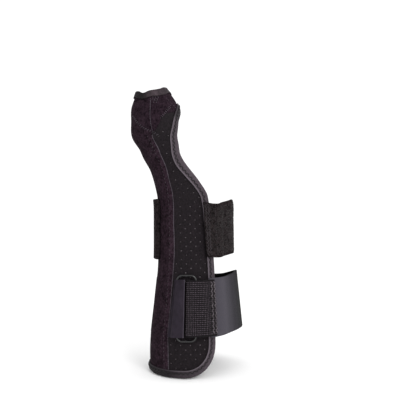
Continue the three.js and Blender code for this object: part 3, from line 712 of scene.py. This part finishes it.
def stitch_tree():
    """One thread for each edge of the guide: a long bead as wide as the thread, pressed in at its ends."""
    tree, given = start_tree("Stitches", Width="Float", Share="Float")
    ends = add_node(tree, "GeometryNodeInputMeshEdgeVertices").outputs
    run = add_node(tree, "ShaderNodeVectorMath", {"operation": "SUBTRACT"}, {
        0: ends["Position 2"], 1: ends["Position 1"]})
    kept = add_node(tree, "GeometryNodeStoreNamedAttribute", {
        "data_type": "FLOAT_VECTOR", "domain": "EDGE"}, {
        "Geometry": given["Geometry"], "Name": "direction", "Value": run})
    middles = add_node(tree, "GeometryNodeMeshToPoints", {"mode": "EDGES"}, {"Mesh": kept})
    along, turned = facing(tree)
    length = add_node(tree, "ShaderNodeVectorMath", {"operation": "LENGTH"}, {0: along}).outputs["Value"]
    half, thick = (add_node(tree, "ShaderNodeMath", {"operation": "MULTIPLY"}, {0: a, 1: b})
                   for a, b in ((length, given["Share"]), (given["Width"], 0.5)))
    size = add_node(tree, "ShaderNodeCombineXYZ", inputs={0: thick, 1: thick, 2: half})
    bead = add_node(tree, "GeometryNodeMeshUVSphere", inputs={"Segments": 7, "Rings": 5, "Radius": 1.0})
    threads = add_node(tree, "GeometryNodeInstanceOnPoints", inputs={
        "Points": middles, "Instance": bead, "Rotation": turned, "Scale": size})
    return end_tree(tree, threads, given["Material"])


ROUND = 10  # corners of a perforation


def punch_tree():
    """Round pockets cut into the guide at the points of another mesh, along that mesh's own directions."""
    tree, given = start_tree("Perforations", Places="Object", Radius="Float", Depth="Float")
    places = add_node(tree, "GeometryNodeObjectInfo", inputs={"Object": given["Places"]}).outputs["Geometry"]
    punch = add_node(tree, "GeometryNodeMeshCylinder", inputs={
        "Vertices": ROUND, "Radius": given["Radius"], "Depth": given["Depth"]})
    punches = add_node(tree, "GeometryNodeInstanceOnPoints", inputs={
        "Points": places, "Instance": punch, "Rotation": facing(tree)[1]})
    cut = add_node(tree, "GeometryNodeMeshBoolean", {"operation": "DIFFERENCE"}, {
        "Mesh 1": given["Geometry"], "Mesh 2": punches})
    return end_tree(tree, cut, given["Material"])


def disc_tree():
    """A small disc at each point of the guide, square to its direction: the lining in a pocket."""
    tree, given = start_tree("Lining", Radius="Float")
    disc = add_node(tree, "GeometryNodeMeshCylinder", inputs={
        "Vertices": ROUND, "Radius": given["Radius"], "Depth": DISC_THICKNESS * MM})
    discs = add_node(tree, "GeometryNodeInstanceOnPoints", inputs={
        "Points": given["Geometry"], "Instance": disc, "Rotation": facing(tree)[1]})
    return end_tree(tree, discs, given["Material"])


TUFT_LEAN, TUFT_SPIN = 0.5, 6.283  # in radians


def tuft_tree():
    """Small loops scattered on the guide's faces at a density, each turned its own way."""
    tree, given = start_tree("Pile", Density="Float", Length="Float", Width="Float", Seed="Int")
    scattered = add_node(tree, "GeometryNodeDistributePointsOnFaces", {"distribute_method": "RANDOM"}, {
        "Mesh": given["Geometry"], "Density": given["Density"], "Seed": given["Seed"]}).outputs
    spin = add_node(tree, "FunctionNodeRandomValue", {"data_type": "FLOAT_VECTOR"}, {
        0: (-TUFT_LEAN, -TUFT_LEAN, 0.0), 1: (TUFT_LEAN, TUFT_LEAN, TUFT_SPIN), "Seed": given["Seed"]})
    spun = add_node(tree, "FunctionNodeEulerToRotation", inputs={0: spin})
    turned = add_node(tree, "FunctionNodeRotateRotation", {"rotation_space": "LOCAL"}, {
        "Rotation": scattered["Rotation"], "Rotate By": spun})
    size = add_node(tree, "ShaderNodeCombineXYZ", inputs={
        0: given["Length"], 1: given["Width"], 2: given["Width"]})
    loop = add_node(tree, "GeometryNodeMeshIcoSphere", inputs={"Radius": 1.0})
    tufts = add_node(tree, "GeometryNodeInstanceOnPoints", inputs={
        "Points": scattered["Points"], "Instance": loop, "Rotation": turned, "Scale": size})
    return end_tree(tree, tufts, given["Material"])


STITCHES = stitch_tree()
PERFORATIONS = punch_tree()
LINING = disc_tree()
PILE = tuft_tree()


def guide_mesh(name, points, edges=(), directions=None):
    """A guide of points in millimetres, with edges or a direction for each point."""
    mesh = new_mesh(name, points, edges)
    if directions is not None:
        kept = mesh.attributes.new("direction", "FLOAT_VECTOR", "POINT")
        kept.data.foreach_set("vector", np.asarray(directions, np.float32).ravel())
    return add_object(name, mesh)


def read_along(s, way, points):
    """The places a way s along a line of points."""
    return np.stack([np.interp(s, way, column) for column in points.T], -1)


def stitch_row(turn, z, rise, pitch, length, start=0.0):
    """Separate stitches along a line on the cloth, as pairs of points."""
    points = place(turn, z, rise)
    way = way_along(points)
    begins = np.arange(start, way[-1] - length, pitch)
    return np.stack([read_along(begins, way, points), read_along(begins + length, way, points)], 1)


def zigzag_row(turn, z, rise, pitch, reach):
    """Stitches that cross a line from side to side, as pairs of points. reach is half the row's width."""
    points = place(turn, z, rise)
    way = way_along(points)
    side = np.cross(np.gradient(points, axis=0), skin_frame(turn, z)[2])
    side /= np.linalg.norm(side, axis=1, keepdims=True)
    s = np.arange(0, way[-1], pitch)
    middles, sides = read_along(s, way, points), read_along(s, way, side)
    knots = middles + sides * (reach * (-1.0) ** np.arange(len(s)))[:, None]
    return np.stack([knots[:-1], knots[1:]], 1)


def sewn(name, pairs, width, material, share=0.55):
    """A piece of stitches from pairs of end points. share is a bead's half length as a share of a stitch."""
    points = np.concatenate(pairs).reshape(-1, 3)
    guide = guide_mesh(name, points, [(2 * k, 2 * k + 1) for k in range(len(points) // 2)])
    piece = run_tree(guide, STITCHES, {"Width": width * MM, "Share": share, "Material": material}, name)
    piece.data.shade_smooth()
    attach(piece, "root")


# ---- the pieces ----

JOINT_GAP = 0.02  # between a panel's top and the sleeve
PANEL_ROWS = 150


def wall_panel(name, left, right, columns, seam_station):
    """A sheet of wall between two edge lines, from the hem up to the thumb sleeve."""
    u = np.linspace(0, 1, columns)

    def turn_at(share, z):
        return left(z) + (right(z) - left(z)) * share

    foot = settle(lambda z: z < np.interp(turn_at(u, z), WALL_FOOT[:, 0], WALL_FOOT[:, 1]), columns)
    top = settle(lambda z: z < sleeve_foot(turn_at(u, z)) - JOINT_GAP, columns)
    z = foot[:, None] + (top - foot)[:, None] * np.linspace(0, 1, PANEL_ROWS)
    turn = turn_at(u[:, None], z)
    bend = ripple(turn, z)
    return laid_sheet(name, turn, z, bend, WALL + bend, rounding=0.6, from_edge=seam_station)


# The small cross folds of the sleeve beside its seam.
FOLDS_TURN = 50.0
FOLDS_SPREAD = 15.0
FOLDS_HEIGHT = 77.0
FOLDS_RISE = 7.0
FOLDS_PITCH = 3.4
FOLDS_DEPTH = 0.4
SLEEVE_TURNS = np.linspace(-180, 180, 121)
SLEEVE_ROWS = 64


def thumb_sleeve():
    turn = SLEEVE_TURNS[:-1, None]
    foot, top = sleeve_foot(turn), collar_edge(turn) - EDGE_INSET
    z = foot + (top - foot) * np.linspace(0, 1, SLEEVE_ROWS)
    turn = np.broadcast_to(turn, z.shape)
    bend = ripple(turn, z)
    outside = WALL + bend + sleeve_folds(turn, z)
    return laid_sheet("thumb_sleeve_laminate", turn, z, bend, outside, rounding=0.5, closed=True)


def sleeve_folds(turn, z):
    near = np.exp(-((wrapped(turn) - FOLDS_TURN) / FOLDS_SPREAD) ** 2
                  - ((z - FOLDS_HEIGHT) / FOLDS_RISE) ** 2)
    return FOLDS_DEPTH * near * np.sin(2 * np.pi * (z - FOLDS_HEIGHT) / FOLDS_PITCH + 0.5)


TAPE_FACE = WALL + TAPE_PLAY * 0.4 + TAPE_THICKNESS * 0.9  # the tape is pressed a little thinner
TAPE_BACK = -TAPE_PLAY * 0.4 - TAPE_THICKNESS * 0.9
TAPE_BODY = TAPE_THICKNESS * 0.8  # from face to face
FOLD_REACH = 1.6  # of the tape's rounded fold, from the finished edge


def tape_profile():
    """Distance inside the finished edge and rise, round a tape folded over the wall's edge."""
    middle, reach = (TAPE_FACE + TAPE_BACK) / 2, (TAPE_FACE - TAPE_BACK) / 2
    shares = np.linspace(0, 1, 9)
    outer_flap = [(TAPE_WIDTH - (TAPE_WIDTH - FOLD_REACH) * s, TAPE_FACE) for s in shares[:-1]]
    fold = [(FOLD_REACH - FOLD_REACH * math.cos(a), middle + reach * math.sin(a))
            for a in np.radians(np.linspace(90, -90, 13))]
    inner_flap = [(FOLD_REACH + (TAPE_WIDTH - FOLD_REACH) * s, TAPE_BACK) for s in shares[1:]]
    return np.array(outer_flap + fold + inner_flap)


def tape(name, line, reach_in):
    """A folded tape along an edge's line. reach_in gives turns and heights at distances inside the edge."""
    profile = tape_profile()
    turn, z = reach_in(profile[:, 0])
    bend = ripple(turn, z)
    outer = place(turn, z, profile[:, 1] + bend)
    lift = np.where(profile[:, 1] > WALL / 2, -TAPE_BODY, TAPE_BODY)
    turn_in, z_in = reach_in(np.maximum(profile[:, 0], TAPE_THICKNESS))
    inner = place(turn_in, z_in, profile[:, 1] + lift + bend)
    uv = np.stack(np.broadcast_arrays(way_along(line)[:, None], profile[:, 0]), -1)
    return loft(name, outer, inner, uv, closed=True)


def below_collar(reach):
    """Turns and heights at distances below the collar's edge."""
    turn = SLEEVE_TURNS[:-1, None]
    return np.broadcast_arrays(turn, collar_edge(turn) - np.asarray(reach))


def bed_rise(bed, slack):
    """How high a strap's underside lies above the skin."""
    on_wall = WALL + GAP
    on_tape = WALL + TAPE_PLAY + TAPE_THICKNESS + GAP
    return np.where(bed > 1, on_wall + (bed - 1) * (on_tape - on_wall), slack + bed * (on_wall - slack))


STRAP_STATION = 1.6  # degrees between a strap's sections
STRAP_ROWS = 40


def strap_form(table, width, drop, slack, slant):
    """Turns, heights and the rises of the two faces over a strap, easing from one bed to the next."""
    first, last = table[0, 0], table[-1, 0]
    stations = np.linspace(first, last, int((last - first) / STRAP_STATION))
    bed = np.interp(stations, table[:, 0], table[:, 1])
    bed = np.convolve(np.pad(bed, 2, mode="edge"), np.ones(5) / 5, "valid")
    share = (stations - first) / (last - first)
    v = np.linspace(0, 1, STRAP_ROWS)
    top, foot = read_smooth(table, stations, 2), read_smooth(table, stations, 3)
    thickness = STRAP_THICKNESS * np.interp(stations, table[:, 0], table[:, 4])[:, None]
    z = width * (top[:, None] + (foot - top)[:, None] * v) - drop
    turn = stations[:, None] + slant * (v - 0.5) * (1 - share[:, None]) ** 4
    low = bed_rise(bed, slack)[:, None]
    return np.broadcast_arrays(turn, z, low, low + thickness)


UPPER_FORM = strap_form(
    UPPER_STRAP, UPPER_STRAP_WIDTH, UPPER_STRAP_DROP, UPPER_STRAP_SLACK, UPPER_STRAP_SLANT)
LOWER_FORM = strap_form(LOWER_STRAP, LOWER_STRAP_WIDTH, LOWER_STRAP_DROP, LOWER_STRAP_SLACK, 0)


def strap_length(form):
    """A strap's length along its middle, in metres."""
    turn, z, low, high = (a[:, STRAP_ROWS // 2] for a in form)
    return length_of(place(turn, z, (low + high) / 2))


RING_HEIGHT = -LOWER_STRAP_DROP
BAR_RISE = WALL + GAP + max(TAB_THICKNESS, WEBBING_THICKNESS) + BAR_PLAY + RING_WIRE / 2
TIGHT = 1 / (float(np.linalg.norm(skin_frame(RING_TURN, RING_HEIGHT)[0])) + math.radians(BAR_RISE))
BAR_TURN = (RING_WIDTH - RING_WIRE) / 2 * TIGHT
RIB_PITCH = 1.6
LANDING = 0.45  # the share of a band's free run in which it comes down to the cloth


def ring():
    """The bent wire ring: a rounded rectangle of round wire."""
    half_length, half_width = (RING_LENGTH - RING_WIRE) / 2, (RING_WIDTH - RING_WIRE) / 2
    corner = RING_CORNER - RING_WIRE / 2
    low, high = RING_HEIGHT - half_length / 2, RING_HEIGHT + half_length / 2
    left, right = RING_TURN - BAR_TURN, RING_TURN + BAR_TURN
    centre = sum(place(t, z, BAR_RISE) for t in (left, right) for z in (low, high)) / 4
    across = place(right, RING_HEIGHT, BAR_RISE) - place(left, RING_HEIGHT, BAR_RISE)
    across /= np.linalg.norm(across)
    out = np.cross(place(left, high, BAR_RISE) - place(left, low, BAR_RISE), across)
    out /= np.linalg.norm(out)
    along = np.cross(across, out)
    spine = []
    for sx, sz, start in ((1, 1, 0), (-1, 1, 90), (-1, -1, 180), (1, -1, 270)):
        for angle in np.radians(np.linspace(start, start + 90, 11)):
            spine.append((sx * (half_width - corner) + corner * math.cos(angle),
                          sz * (half_length - corner) + corner * math.sin(angle), angle))
    spine = np.array(spine)
    around = np.linspace(0, 2 * np.pi, 17)[:-1]
    reach = RING_WIRE / 2 * np.cos(around)
    s = spine[:, :1] + reach * np.cos(spine[:, 2:])
    t = spine[:, 1:2] + reach * np.sin(spine[:, 2:])
    lift = np.broadcast_to(RING_WIRE / 2 * np.sin(around), s.shape)
    sections = centre + s[..., None] * across + t[..., None] * along + lift[..., None] * out
    front, behind = np.split(sections, 2, axis=1)
    return loft("ring_wire", front, behind[:, ::-1], np.zeros(front.shape[:2] + (2,)), closed=True)


def band_line(side, thickness, loop, ends, end_rise):
    """The two faces of a band folded round one bar of the ring, as turns and rises, and where the fold is."""
    bar = RING_TURN - side * BAR_TURN
    outer_radius = BAR_RISE - (WALL + GAP)
    fold_centre = bar + side * max(loop - outer_radius, 0) * TIGHT
    clear = bar - side * (RING_WIRE / 2 + 3 * BAR_PLAY) * TIGHT
    landing = clear + (ends[1] - clear) * LANDING
    arc = np.radians(np.linspace(-90, 90, 13))
    lower = np.linspace(ends[0], fold_centre, 24)[:-1]
    ramp = np.linspace(clear, landing, 12)
    run = np.linspace(landing, ends[1], 20)[1:]
    eased = (1 - np.cos(np.linspace(0, np.pi, 12))) / 2

    def face(radius, lift):
        turn = np.concatenate([lower, fold_centre + side * radius * np.cos(arc) * TIGHT, ramp, run])
        rise = np.concatenate([
            np.full(len(lower), BAR_RISE - radius), BAR_RISE + radius * np.sin(arc),
            BAR_RISE + radius + (end_rise + lift - BAR_RISE - radius) * eased,
            np.full(len(run), end_rise + lift)])
        return turn, rise

    return face(outer_radius, thickness), face(outer_radius - thickness, 0), len(lower) + len(arc) // 2


LEAN_REACH = 8.0  # how far from a band's end it leans, in degrees


def folded_band(name, line, length, lean=None, ribs=0):
    """A band folded double round one bar of the ring. lean moves its ends, at the top and the foot."""
    (outer_turn, outer_rise), (inner_turn, inner_rise), fold = line
    z = np.linspace(RING_HEIGHT - length / 2, RING_HEIGHT + length / 2, 93)[:, None]
    v = (z - z[0]) / length
    skew = 0
    if lean:
        near_end = np.interp(outer_turn, [outer_turn[-1], outer_turn[-1] + LEAN_REACH], [1, 0])
        skew = (lean[1] + (lean[0] - lean[1]) * v) * near_end
    rib = ribs * np.cos(2 * np.pi * z / RIB_PITCH)
    outer = place(outer_turn + skew, z, outer_rise + rib)
    inner = place(inner_turn + skew, z, inner_rise)
    u = way_along(outer[len(z) // 2])
    uv = np.stack(np.broadcast_arrays(u - u[fold], z), -1)
    return soften_edges(loft(name, outer, inner, uv), width=0.35)


def band_length(line):
    """The length of a band along its outer face, in metres."""
    return length_of(place(line[0][0], RING_HEIGHT, line[0][1]))


def finish_piece(piece, material, node):
    """Gives a piece its material, its body and the solid it stands for."""
    piece.data.materials.clear()
    piece.data.materials.append(material)
    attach(piece, "root")
    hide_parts(node)
    return piece


# ---- perforations ----

HOLE_RADIUS = 0.65
HOLE_DEPTH = 0.7
HOLE_ROW_PITCH = 3.67
HOLE_COLUMN_PITCH = 8.3
FIRST_HOLE_ROW = -5.4  # the row's height
FIRST_HOLE_COLUMN = 5.5  # from the seam
HOLE_MARGIN = 6.0  # clear of the wall's edge
SLEEVE_MARGIN = 4.0
SEAM_MARGIN = 2.0
SHIFT_TOP = -35.0  # from here down the columns stand a millimetre further from the seam
SHIFT_EASE = 20.0


def degrees_for(arc, turn, z):
    """The turn that an arc in millimetres covers on the outside of the wall."""
    return arc / (np.linalg.norm(skin_frame(turn, z)[0], axis=-1) + math.radians(WALL))


def hole_places():
    """Turns and heights of the perforations: rows with alternate rows moved half a column."""
    edge = place(WALL_EDGE[:, 0], WALL_EDGE[:, 1], WALL)
    holes = []
    for row in range(-17, 38):
        z = FIRST_HOLE_ROW - HOLE_ROW_PITCH * row
        shift = HOLE_COLUMN_PITCH / 2 * (row % 2) + np.clip((SHIFT_TOP - z) / SHIFT_EASE, 0, 1)
        for column in range(-1, 9):
            arc = FIRST_HOLE_COLUMN + shift + HOLE_COLUMN_PITCH * column
            halfway = seam_turn(z) + arc * 0.8  # a millimetre is about 1.6 degrees
            turn = seam_turn(z) + degrees_for(arc, halfway, z)
            off_wall = turn > wall_turn(WALL_BACK, z) or z < np.interp(turn, *WALL_FOOT.T)
            if off_wall or arc < SEAM_MARGIN or z > sleeve_foot(turn) - SLEEVE_MARGIN:
                continue
            if np.min(np.linalg.norm(edge - place(turn, z, WALL), axis=1)) > HOLE_MARGIN:
                holes.append((float(turn), z))
    return np.array(holes)


def hole_guide(name, sink):
    """The perforations' places at a depth below the wall's face, with their directions."""
    turn, z = hole_places().T
    points = place(turn, z, WALL + ripple(turn, z) - sink)
    return guide_mesh(name, points, directions=skin_frame(turn, z)[2])


def punched(panel):
    """The panel with its perforations, blind pockets in its outer face."""
    guide = hole_guide("hole_guide", 0)
    piece = run_tree(panel, PERFORATIONS, {
        "Places": guide, "Radius": HOLE_RADIUS * MM, "Depth": 2 * HOLE_DEPTH * MM,
        "Material": LAMINATE}, panel.name)
    bpy.data.objects.remove(guide)
    return piece


SEAM_TURN_GAP = 0.12

palm_panel = finish_piece(
    wall_panel("palm_panel_plush", lambda z: wall_turn(WALL_PALM, z), lambda z: seam_turn(z) - SEAM_TURN_GAP,
               columns=84, seam_station=-1), PLUSH, "palm_panel")
back_panel = finish_piece(punched(
    wall_panel("back_panel_perforated", lambda z: seam_turn(z) + SEAM_TURN_GAP,
               lambda z: wall_turn(WALL_BACK, z), columns=50, seam_station=0)),
    LAMINATE, "back_panel")
sleeve = finish_piece(thumb_sleeve(), SLEEVE, "thumb_sleeve")
edge = finish_piece(
    tape("edge_tape", skin_point(*FINISHED_EDGE.T), lambda reach: inset(FINISHED_EDGE, reach)),
    TAPE, "edge_binding")
collar = finish_piece(
    tape("collar_tape", place(SLEEVE_TURNS, collar_edge(SLEEVE_TURNS), WALL)[:-1], below_collar),
    COLLAR_TAPE, "thumb_collar")
upper_strap = finish_piece(
    laid_sheet("upper_strap_pile", *UPPER_FORM, rounding=0.7), LOOP_PILE, "upper_strap")
lower_strap = finish_piece(
    laid_sheet("lower_strap_knit", *LOWER_FORM, rounding=0.7), GREY_STRAP, "lower_strap")

tab_middle = (TAB_TOP_TURN + TAB_FOOT_TURN) / 2
TAB_LINE = band_line(1, TAB_THICKNESS, TAB_LOOP, (tab_middle, tab_middle), WALL + 2 * GAP + TAB_THICKNESS)
WEBBING_RISE = float(bed_rise(2.0, LOWER_STRAP_SLACK)) + STRAP_THICKNESS + GAP
WEBBING_LINE = band_line(-1, WEBBING_THICKNESS, WEBBING_LOOP, (WEBBING_RETURN, WEBBING_END), WEBBING_RISE)
RIB_HEIGHT = 0.18

ring_tab = finish_piece(folded_band(
    "ring_tab_fold", TAB_LINE, TAB_LENGTH, (TAB_TOP_TURN - tab_middle, TAB_FOOT_TURN - tab_middle)),
    TAB_CLOTH, "ring_tab")
webbing = finish_piece(folded_band(
    "webbing_fold", WEBBING_LINE, WEBBING_LENGTH, ribs=RIB_HEIGHT), WEBBING_YARN, "webbing")
ring_wire = finish_piece(ring(), WIRE, "ring")


# ---- lining, pile, yarns and stitches ----

YARN_SINK = 0.05  # of a loop's or a float's middle into the cloth's face

lining = run_tree(hole_guide("hole_lining", HOLE_DEPTH - DISC_THICKNESS / 2), LINING, {
    "Radius": (HOLE_RADIUS - 0.03) * MM, "Material": PALE_LINING}, "hole_lining")
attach(lining, "root")

PILE_END = 285.0  # the strap's free end past this turn is smooth
PILE_DENSITY = 0.65e6  # loops in a square metre; real pile is finer than the picture can show
LOOP_LENGTH = 0.85
LOOP_WIDTH = 0.3


def pile_loops():
    """Loops over the upper strap's outer face."""
    turn, z, _, rise = (a[UPPER_FORM[0][:, 0] < PILE_END] for a in UPPER_FORM)
    points = place(turn, z, rise - YARN_SINK)[:, 2:-2]
    rows, count = points.shape[:2]
    faces = [(i * count + j, (i + 1) * count + j, (i + 1) * count + j + 1, i * count + j + 1)
             for i in range(rows - 1) for j in range(count - 1)]
    guide = make_object("pile_loops", points, faces)
    out = skin_frame(turn, z)[2][0, 2]
    if np.dot(np.array(guide.data.polygons[0].normal), out) < 0:
        guide.data.flip_normals()
    piece = run_tree(guide, PILE, {
        "Density": PILE_DENSITY, "Length": LOOP_LENGTH * MM, "Width": LOOP_WIDTH * MM, "Seed": SEED,
        "Material": PILE_LOOPS}, "pile_loops")
    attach(piece, "root")


pile_loops()

FLOAT_PITCH = 1.4
FLOAT_LENGTH = 0.75
FLOAT_WIDTH = 0.9
FIRST_FLOAT = 0.2


def webbing_yarns():
    """The floats of the webbing's weave: a row along each rib, from the fold to the sewn end."""
    turn, rise = (a[WEBBING_LINE[2]:] for a in WEBBING_LINE[0])
    way = way_along(place(turn, RING_HEIGHT, rise))
    pairs = []
    ribs = int((WEBBING_LENGTH - RIB_PITCH) / RIB_PITCH) // 2
    for rib in range(-ribs, ribs + 1):
        z = RING_HEIGHT + rib * RIB_PITCH
        begins = np.arange(FIRST_FLOAT, way[-1] - FLOAT_LENGTH, FLOAT_PITCH)
        ends = [place(np.interp(s, way, turn), z, np.interp(s, way, rise) - YARN_SINK)
                for s in (begins, begins + FLOAT_LENGTH)]
        pairs.append(np.stack(ends, 1))
    return pairs


# The floats carry the webbing's painted highlights, in a lighter yarn than the rest of it.
sewn("webbing_yarns", webbing_yarns(), FLOAT_WIDTH, WEBBING_FLOATS)

THREAD_LIFT = 0.1  # of a thread's middle over the cloth


def along_wall(turn, z, sideways=0.0):
    """A line on the wall, moved sideways by a distance in millimetres, with its rise."""
    turn, z = np.asarray(turn, float), np.asarray(z, float)
    moved = turn + degrees_for(sideways, turn, z)
    return moved, z, WALL + ripple(moved, z) + THREAD_LIFT


def through(*points):
    """A smooth line of turns and heights through a few places, from the first to the last."""
    points = np.array(points, float)
    way = way_along(points)
    table = np.column_stack([way, points])
    s = np.linspace(0, way[-1], 80)
    return read_smooth(table, s, 1), read_smooth(table, s, 2)


def seam_line(low, high, count):
    z = np.linspace(low, high, count)
    return seam_turn(z), z


NET_TOP = 88.5
NET_DROP = 7.5
NET_LEAN = 11.0
NET_START, NET_END, NET_PITCH = 86, 112, 7.0
NET_LEFT, NET_RIGHT = 84.5, 113.0
NET_TAPER = 2.2  # degrees that the patch loses on the right for each millimetre down


def net_lines():
    """Slanting yarns of the net patch below the collar, crossing one another both ways."""
    reach = np.linspace(0, 1, 12)
    z = NET_TOP - NET_DROP * reach
    for start in np.arange(NET_START, NET_END, NET_PITCH):
        for lean in (-NET_LEAN, NET_LEAN):
            turn = start + lean * reach
            held = (turn > NET_LEFT) & (turn < NET_RIGHT - (NET_TOP - z) * NET_TAPER)
            if held.sum() > 3:
                yield turn[held], z[held]


SEAM_FORK = 57.5
low_seam = seam_line(-139.0, SEAM_FORK - 2, 260)
sleeve_seam = seam_line(SEAM_FORK, 86.5, 60)
left_line = through((28, 72.5), (36, 70.1), (49, 65.3), (62.5, 61.1), (79.1, 57.5), (85.9, 55.8), (91, 53.5))
right_line = through((103, 68.0), (113.5, 71.3), (121.3, 75.0), (130.1, 77.7), (138, 78.5))
right_line_above = right_line[0], right_line[1] + 1.4
slope_line = through((128, 86.0), (131.1, 84.2), (139.9, 81.1), (147.7, 78.7), (154.4, 76.4), (162, 73.5))
plush_line = through((75, 52.5), (66, 49.5), (56, 45.5), (48.5, 42.3), (38, 38.8), (26, 35.2))

# piece, thread, its width and its share of a stitch, then rows: line, sideways, pitch, length, start.
PLAIN_ROWS = [
    ("long_seam_thread", SEAM_THREAD, 0.8, 0.62, [(low_seam, 0, 1.5, 1.5, 0)]),
    ("seam_topstitch", GREY_THREAD, 0.5, 0.55, [(low_seam, -4.2, 3.2, 1.3, 0.6)]),
    ("sleeve_seam_thread", SEAM_THREAD, 0.6, 0.55, [(sleeve_seam, 0.6, 1.5, 1.35, 0)]),
    ("sleeve_edge_stitches", SEAM_THREAD, 0.45, 0.55, [
        (left_line, 0, 2.3, 1.5, 0), (left_line, -1.5, 2.3, 1.0, 1.1)]),
    ("sleeve_side_stitches", SEAM_THREAD, 0.5, 0.55, [
        (right_line, 0, 2.0, 1.3, 0), (right_line_above, 0, 2.0, 1.0, 1.0), (slope_line, 0, 2.2, 0.9, 0)]),
    ("sleeve_mesh_yarns", SEAM_THREAD, 0.5, 0.55, [(line, 0, 1.5, 1.1, 0) for line in net_lines()]),
    ("plush_fork_stitches", GREY_THREAD, 0.45, 0.55, [(plush_line, 0, 2.6, 1.2, 0)]),
]
for name, thread, width, share, rows in PLAIN_ROWS:
    sewn(name, [stitch_row(*along_wall(*line, sideways), pitch, length, start)
                for line, sideways, pitch, length, start in rows], width, thread, share)

TAPE_STITCH_INSET = 4.3
TAPE_STITCH_LIFT = 0.3
WEBBING_MARGIN = 1.5
STRAP_FACE = float(bed_rise(2.0, UPPER_STRAP_SLACK)) + STRAP_THICKNESS
WEBBING_FACE = WEBBING_RISE + WEBBING_THICKNESS + RIB_HEIGHT


def along_tape():
    turn, z = (a[:, 0] for a in inset(FINISHED_EDGE, [TAPE_STITCH_INSET]))
    return turn, z, TAPE_FACE + ripple(turn, z) + TAPE_STITCH_LIFT


def down_upper_strap(column):
    """A line down the upper strap's sewn end at a distance in millimetres from its end."""
    turn, z = (a[0, 1:-1] for a in UPPER_FORM[:2])
    return turn + degrees_for(column, turn, z), z, np.full(len(z), STRAP_FACE + THREAD_LIFT)


def down_webbing(turn):
    """A line down the webbing's sewn end."""
    reach = WEBBING_LENGTH / 2 - WEBBING_MARGIN
    z = np.linspace(RING_HEIGHT + reach, RING_HEIGHT - reach, 120)
    return np.full(len(z), turn), z, np.full(len(z), WEBBING_FACE + 2 * THREAD_LIFT)


# piece, kind of row, its lines, pitch, half width or a stitch's length, the thread's width, thread.
for name, row, lines, pitch, reach, width, thread in (
        ("tape_stitches", zigzag_row, [along_tape()], 1.9, 0.9, 0.8, DARK_THREAD),
        ("upper_strap_zigzag", zigzag_row, map(down_upper_strap, (1.4, 3.6)), 1.5, 0.8, 0.5, GREY_THREAD),
        ("upper_strap_topstitch", stitch_row, [down_upper_strap(9.6)], 2.0, 1.0, 0.45, GREY_THREAD),
        ("webbing_zigzag_dark", zigzag_row, map(down_webbing, (75.8, 79.2)), 2.0, 0.9, 0.6, DARK_THREAD),
        ("webbing_zigzag_pale", zigzag_row, map(down_webbing, (77.5, 81.0)), 2.0, 0.7, 0.75, PALE_THREAD)):
    sewn(name, [row(*line, pitch, reach) for line in lines], width, thread)


# ---- cloth ----

COLLAR_LENGTH = length_of(place(SLEEVE_TURNS, collar_edge(SLEEVE_TURNS), WALL / 2))

strap_length(UPPER_FORM)
strap_length(LOWER_FORM)
band_length(TAB_LINE)
band_length(WEBBING_LINE)


# ---- floor, light and camera ----

FLOOR_HEIGHT = -146.2
FLOOR_REACH = 60000.0
CAMERA_DISTANCE = 520.0
CAMERA_SIDE = 2.6
CAMERA_AZIMUTH = math.radians(-35.0)
CAMERA_LENS = 53.18
LIGHT_SIZE = 500.0
SURROUND = 1.12  # bright enough for the floor and what lies behind it to be one white


def pale_floor():
    """A wide pale matt floor under the hem."""
    corners = [(x * FLOOR_REACH, y * FLOOR_REACH, FLOOR_HEIGHT)
               for x, y in ((-1, -1), (1, -1), (1, 1), (-1, 1))]
    floor = add_object("floor", new_mesh("floor", corners, faces=[(0, 1, 2, 3)]))
    material, _, shader = start_material("Pale matt floor", 0.9, gloss=0.3)
    shader.inputs["Base Color"].default_value = linear("#fafafa")
    floor.data.materials.append(material)


def aimed(name, data, location, direction):
    """A light or a camera that looks along a direction."""
    thing = add_object(name, data)
    thing.location = location
    thing.rotation_euler = direction.to_track_quat("-Z", "Y").to_euler()
    return thing


def soft_light(name, place_mm, power):
    """A round light that faces the splint's middle."""
    data = bpy.data.lights.new(name, "AREA")
    data.shape = "DISK"
    data.size = LIGHT_SIZE * MM
    data.energy = power
    location = Vector(place_mm) * MM
    aimed(name, data, location, -location)


def studio():
    """A white surround with a soft key light from the right and above, and a low one beside it."""
    world = bpy.data.worlds.new("Studio")
    world.use_nodes = True
    background = world.node_tree.nodes["Background"]
    background.inputs["Color"].default_value = (1, 1, 1, 1)
    background.inputs["Strength"].default_value = SURROUND
    bpy.context.scene.world = world
    soft_light("key", (-100, -1130, 650), power=6)
    soft_light("side", (900, -500, 200), power=1.5)


def photo_camera():
    """The camera of the picture, level with the wrist."""
    right = Vector((math.cos(CAMERA_AZIMUTH), math.sin(CAMERA_AZIMUTH), 0))
    look = Vector((-math.sin(CAMERA_AZIMUTH), math.cos(CAMERA_AZIMUTH), 0))
    data = bpy.data.cameras.new("camera")
    data.lens = CAMERA_LENS
    data.sensor_width = 36.0
    data.clip_start, data.clip_end = 0.01, 200
    bpy.context.scene.camera = aimed(
        "camera", data, (right * CAMERA_SIDE - look * CAMERA_DISTANCE) * MM, look)


pale_floor()
studio()
photo_camera()
bpy.context.scene.view_settings.view_transform = "Standard"
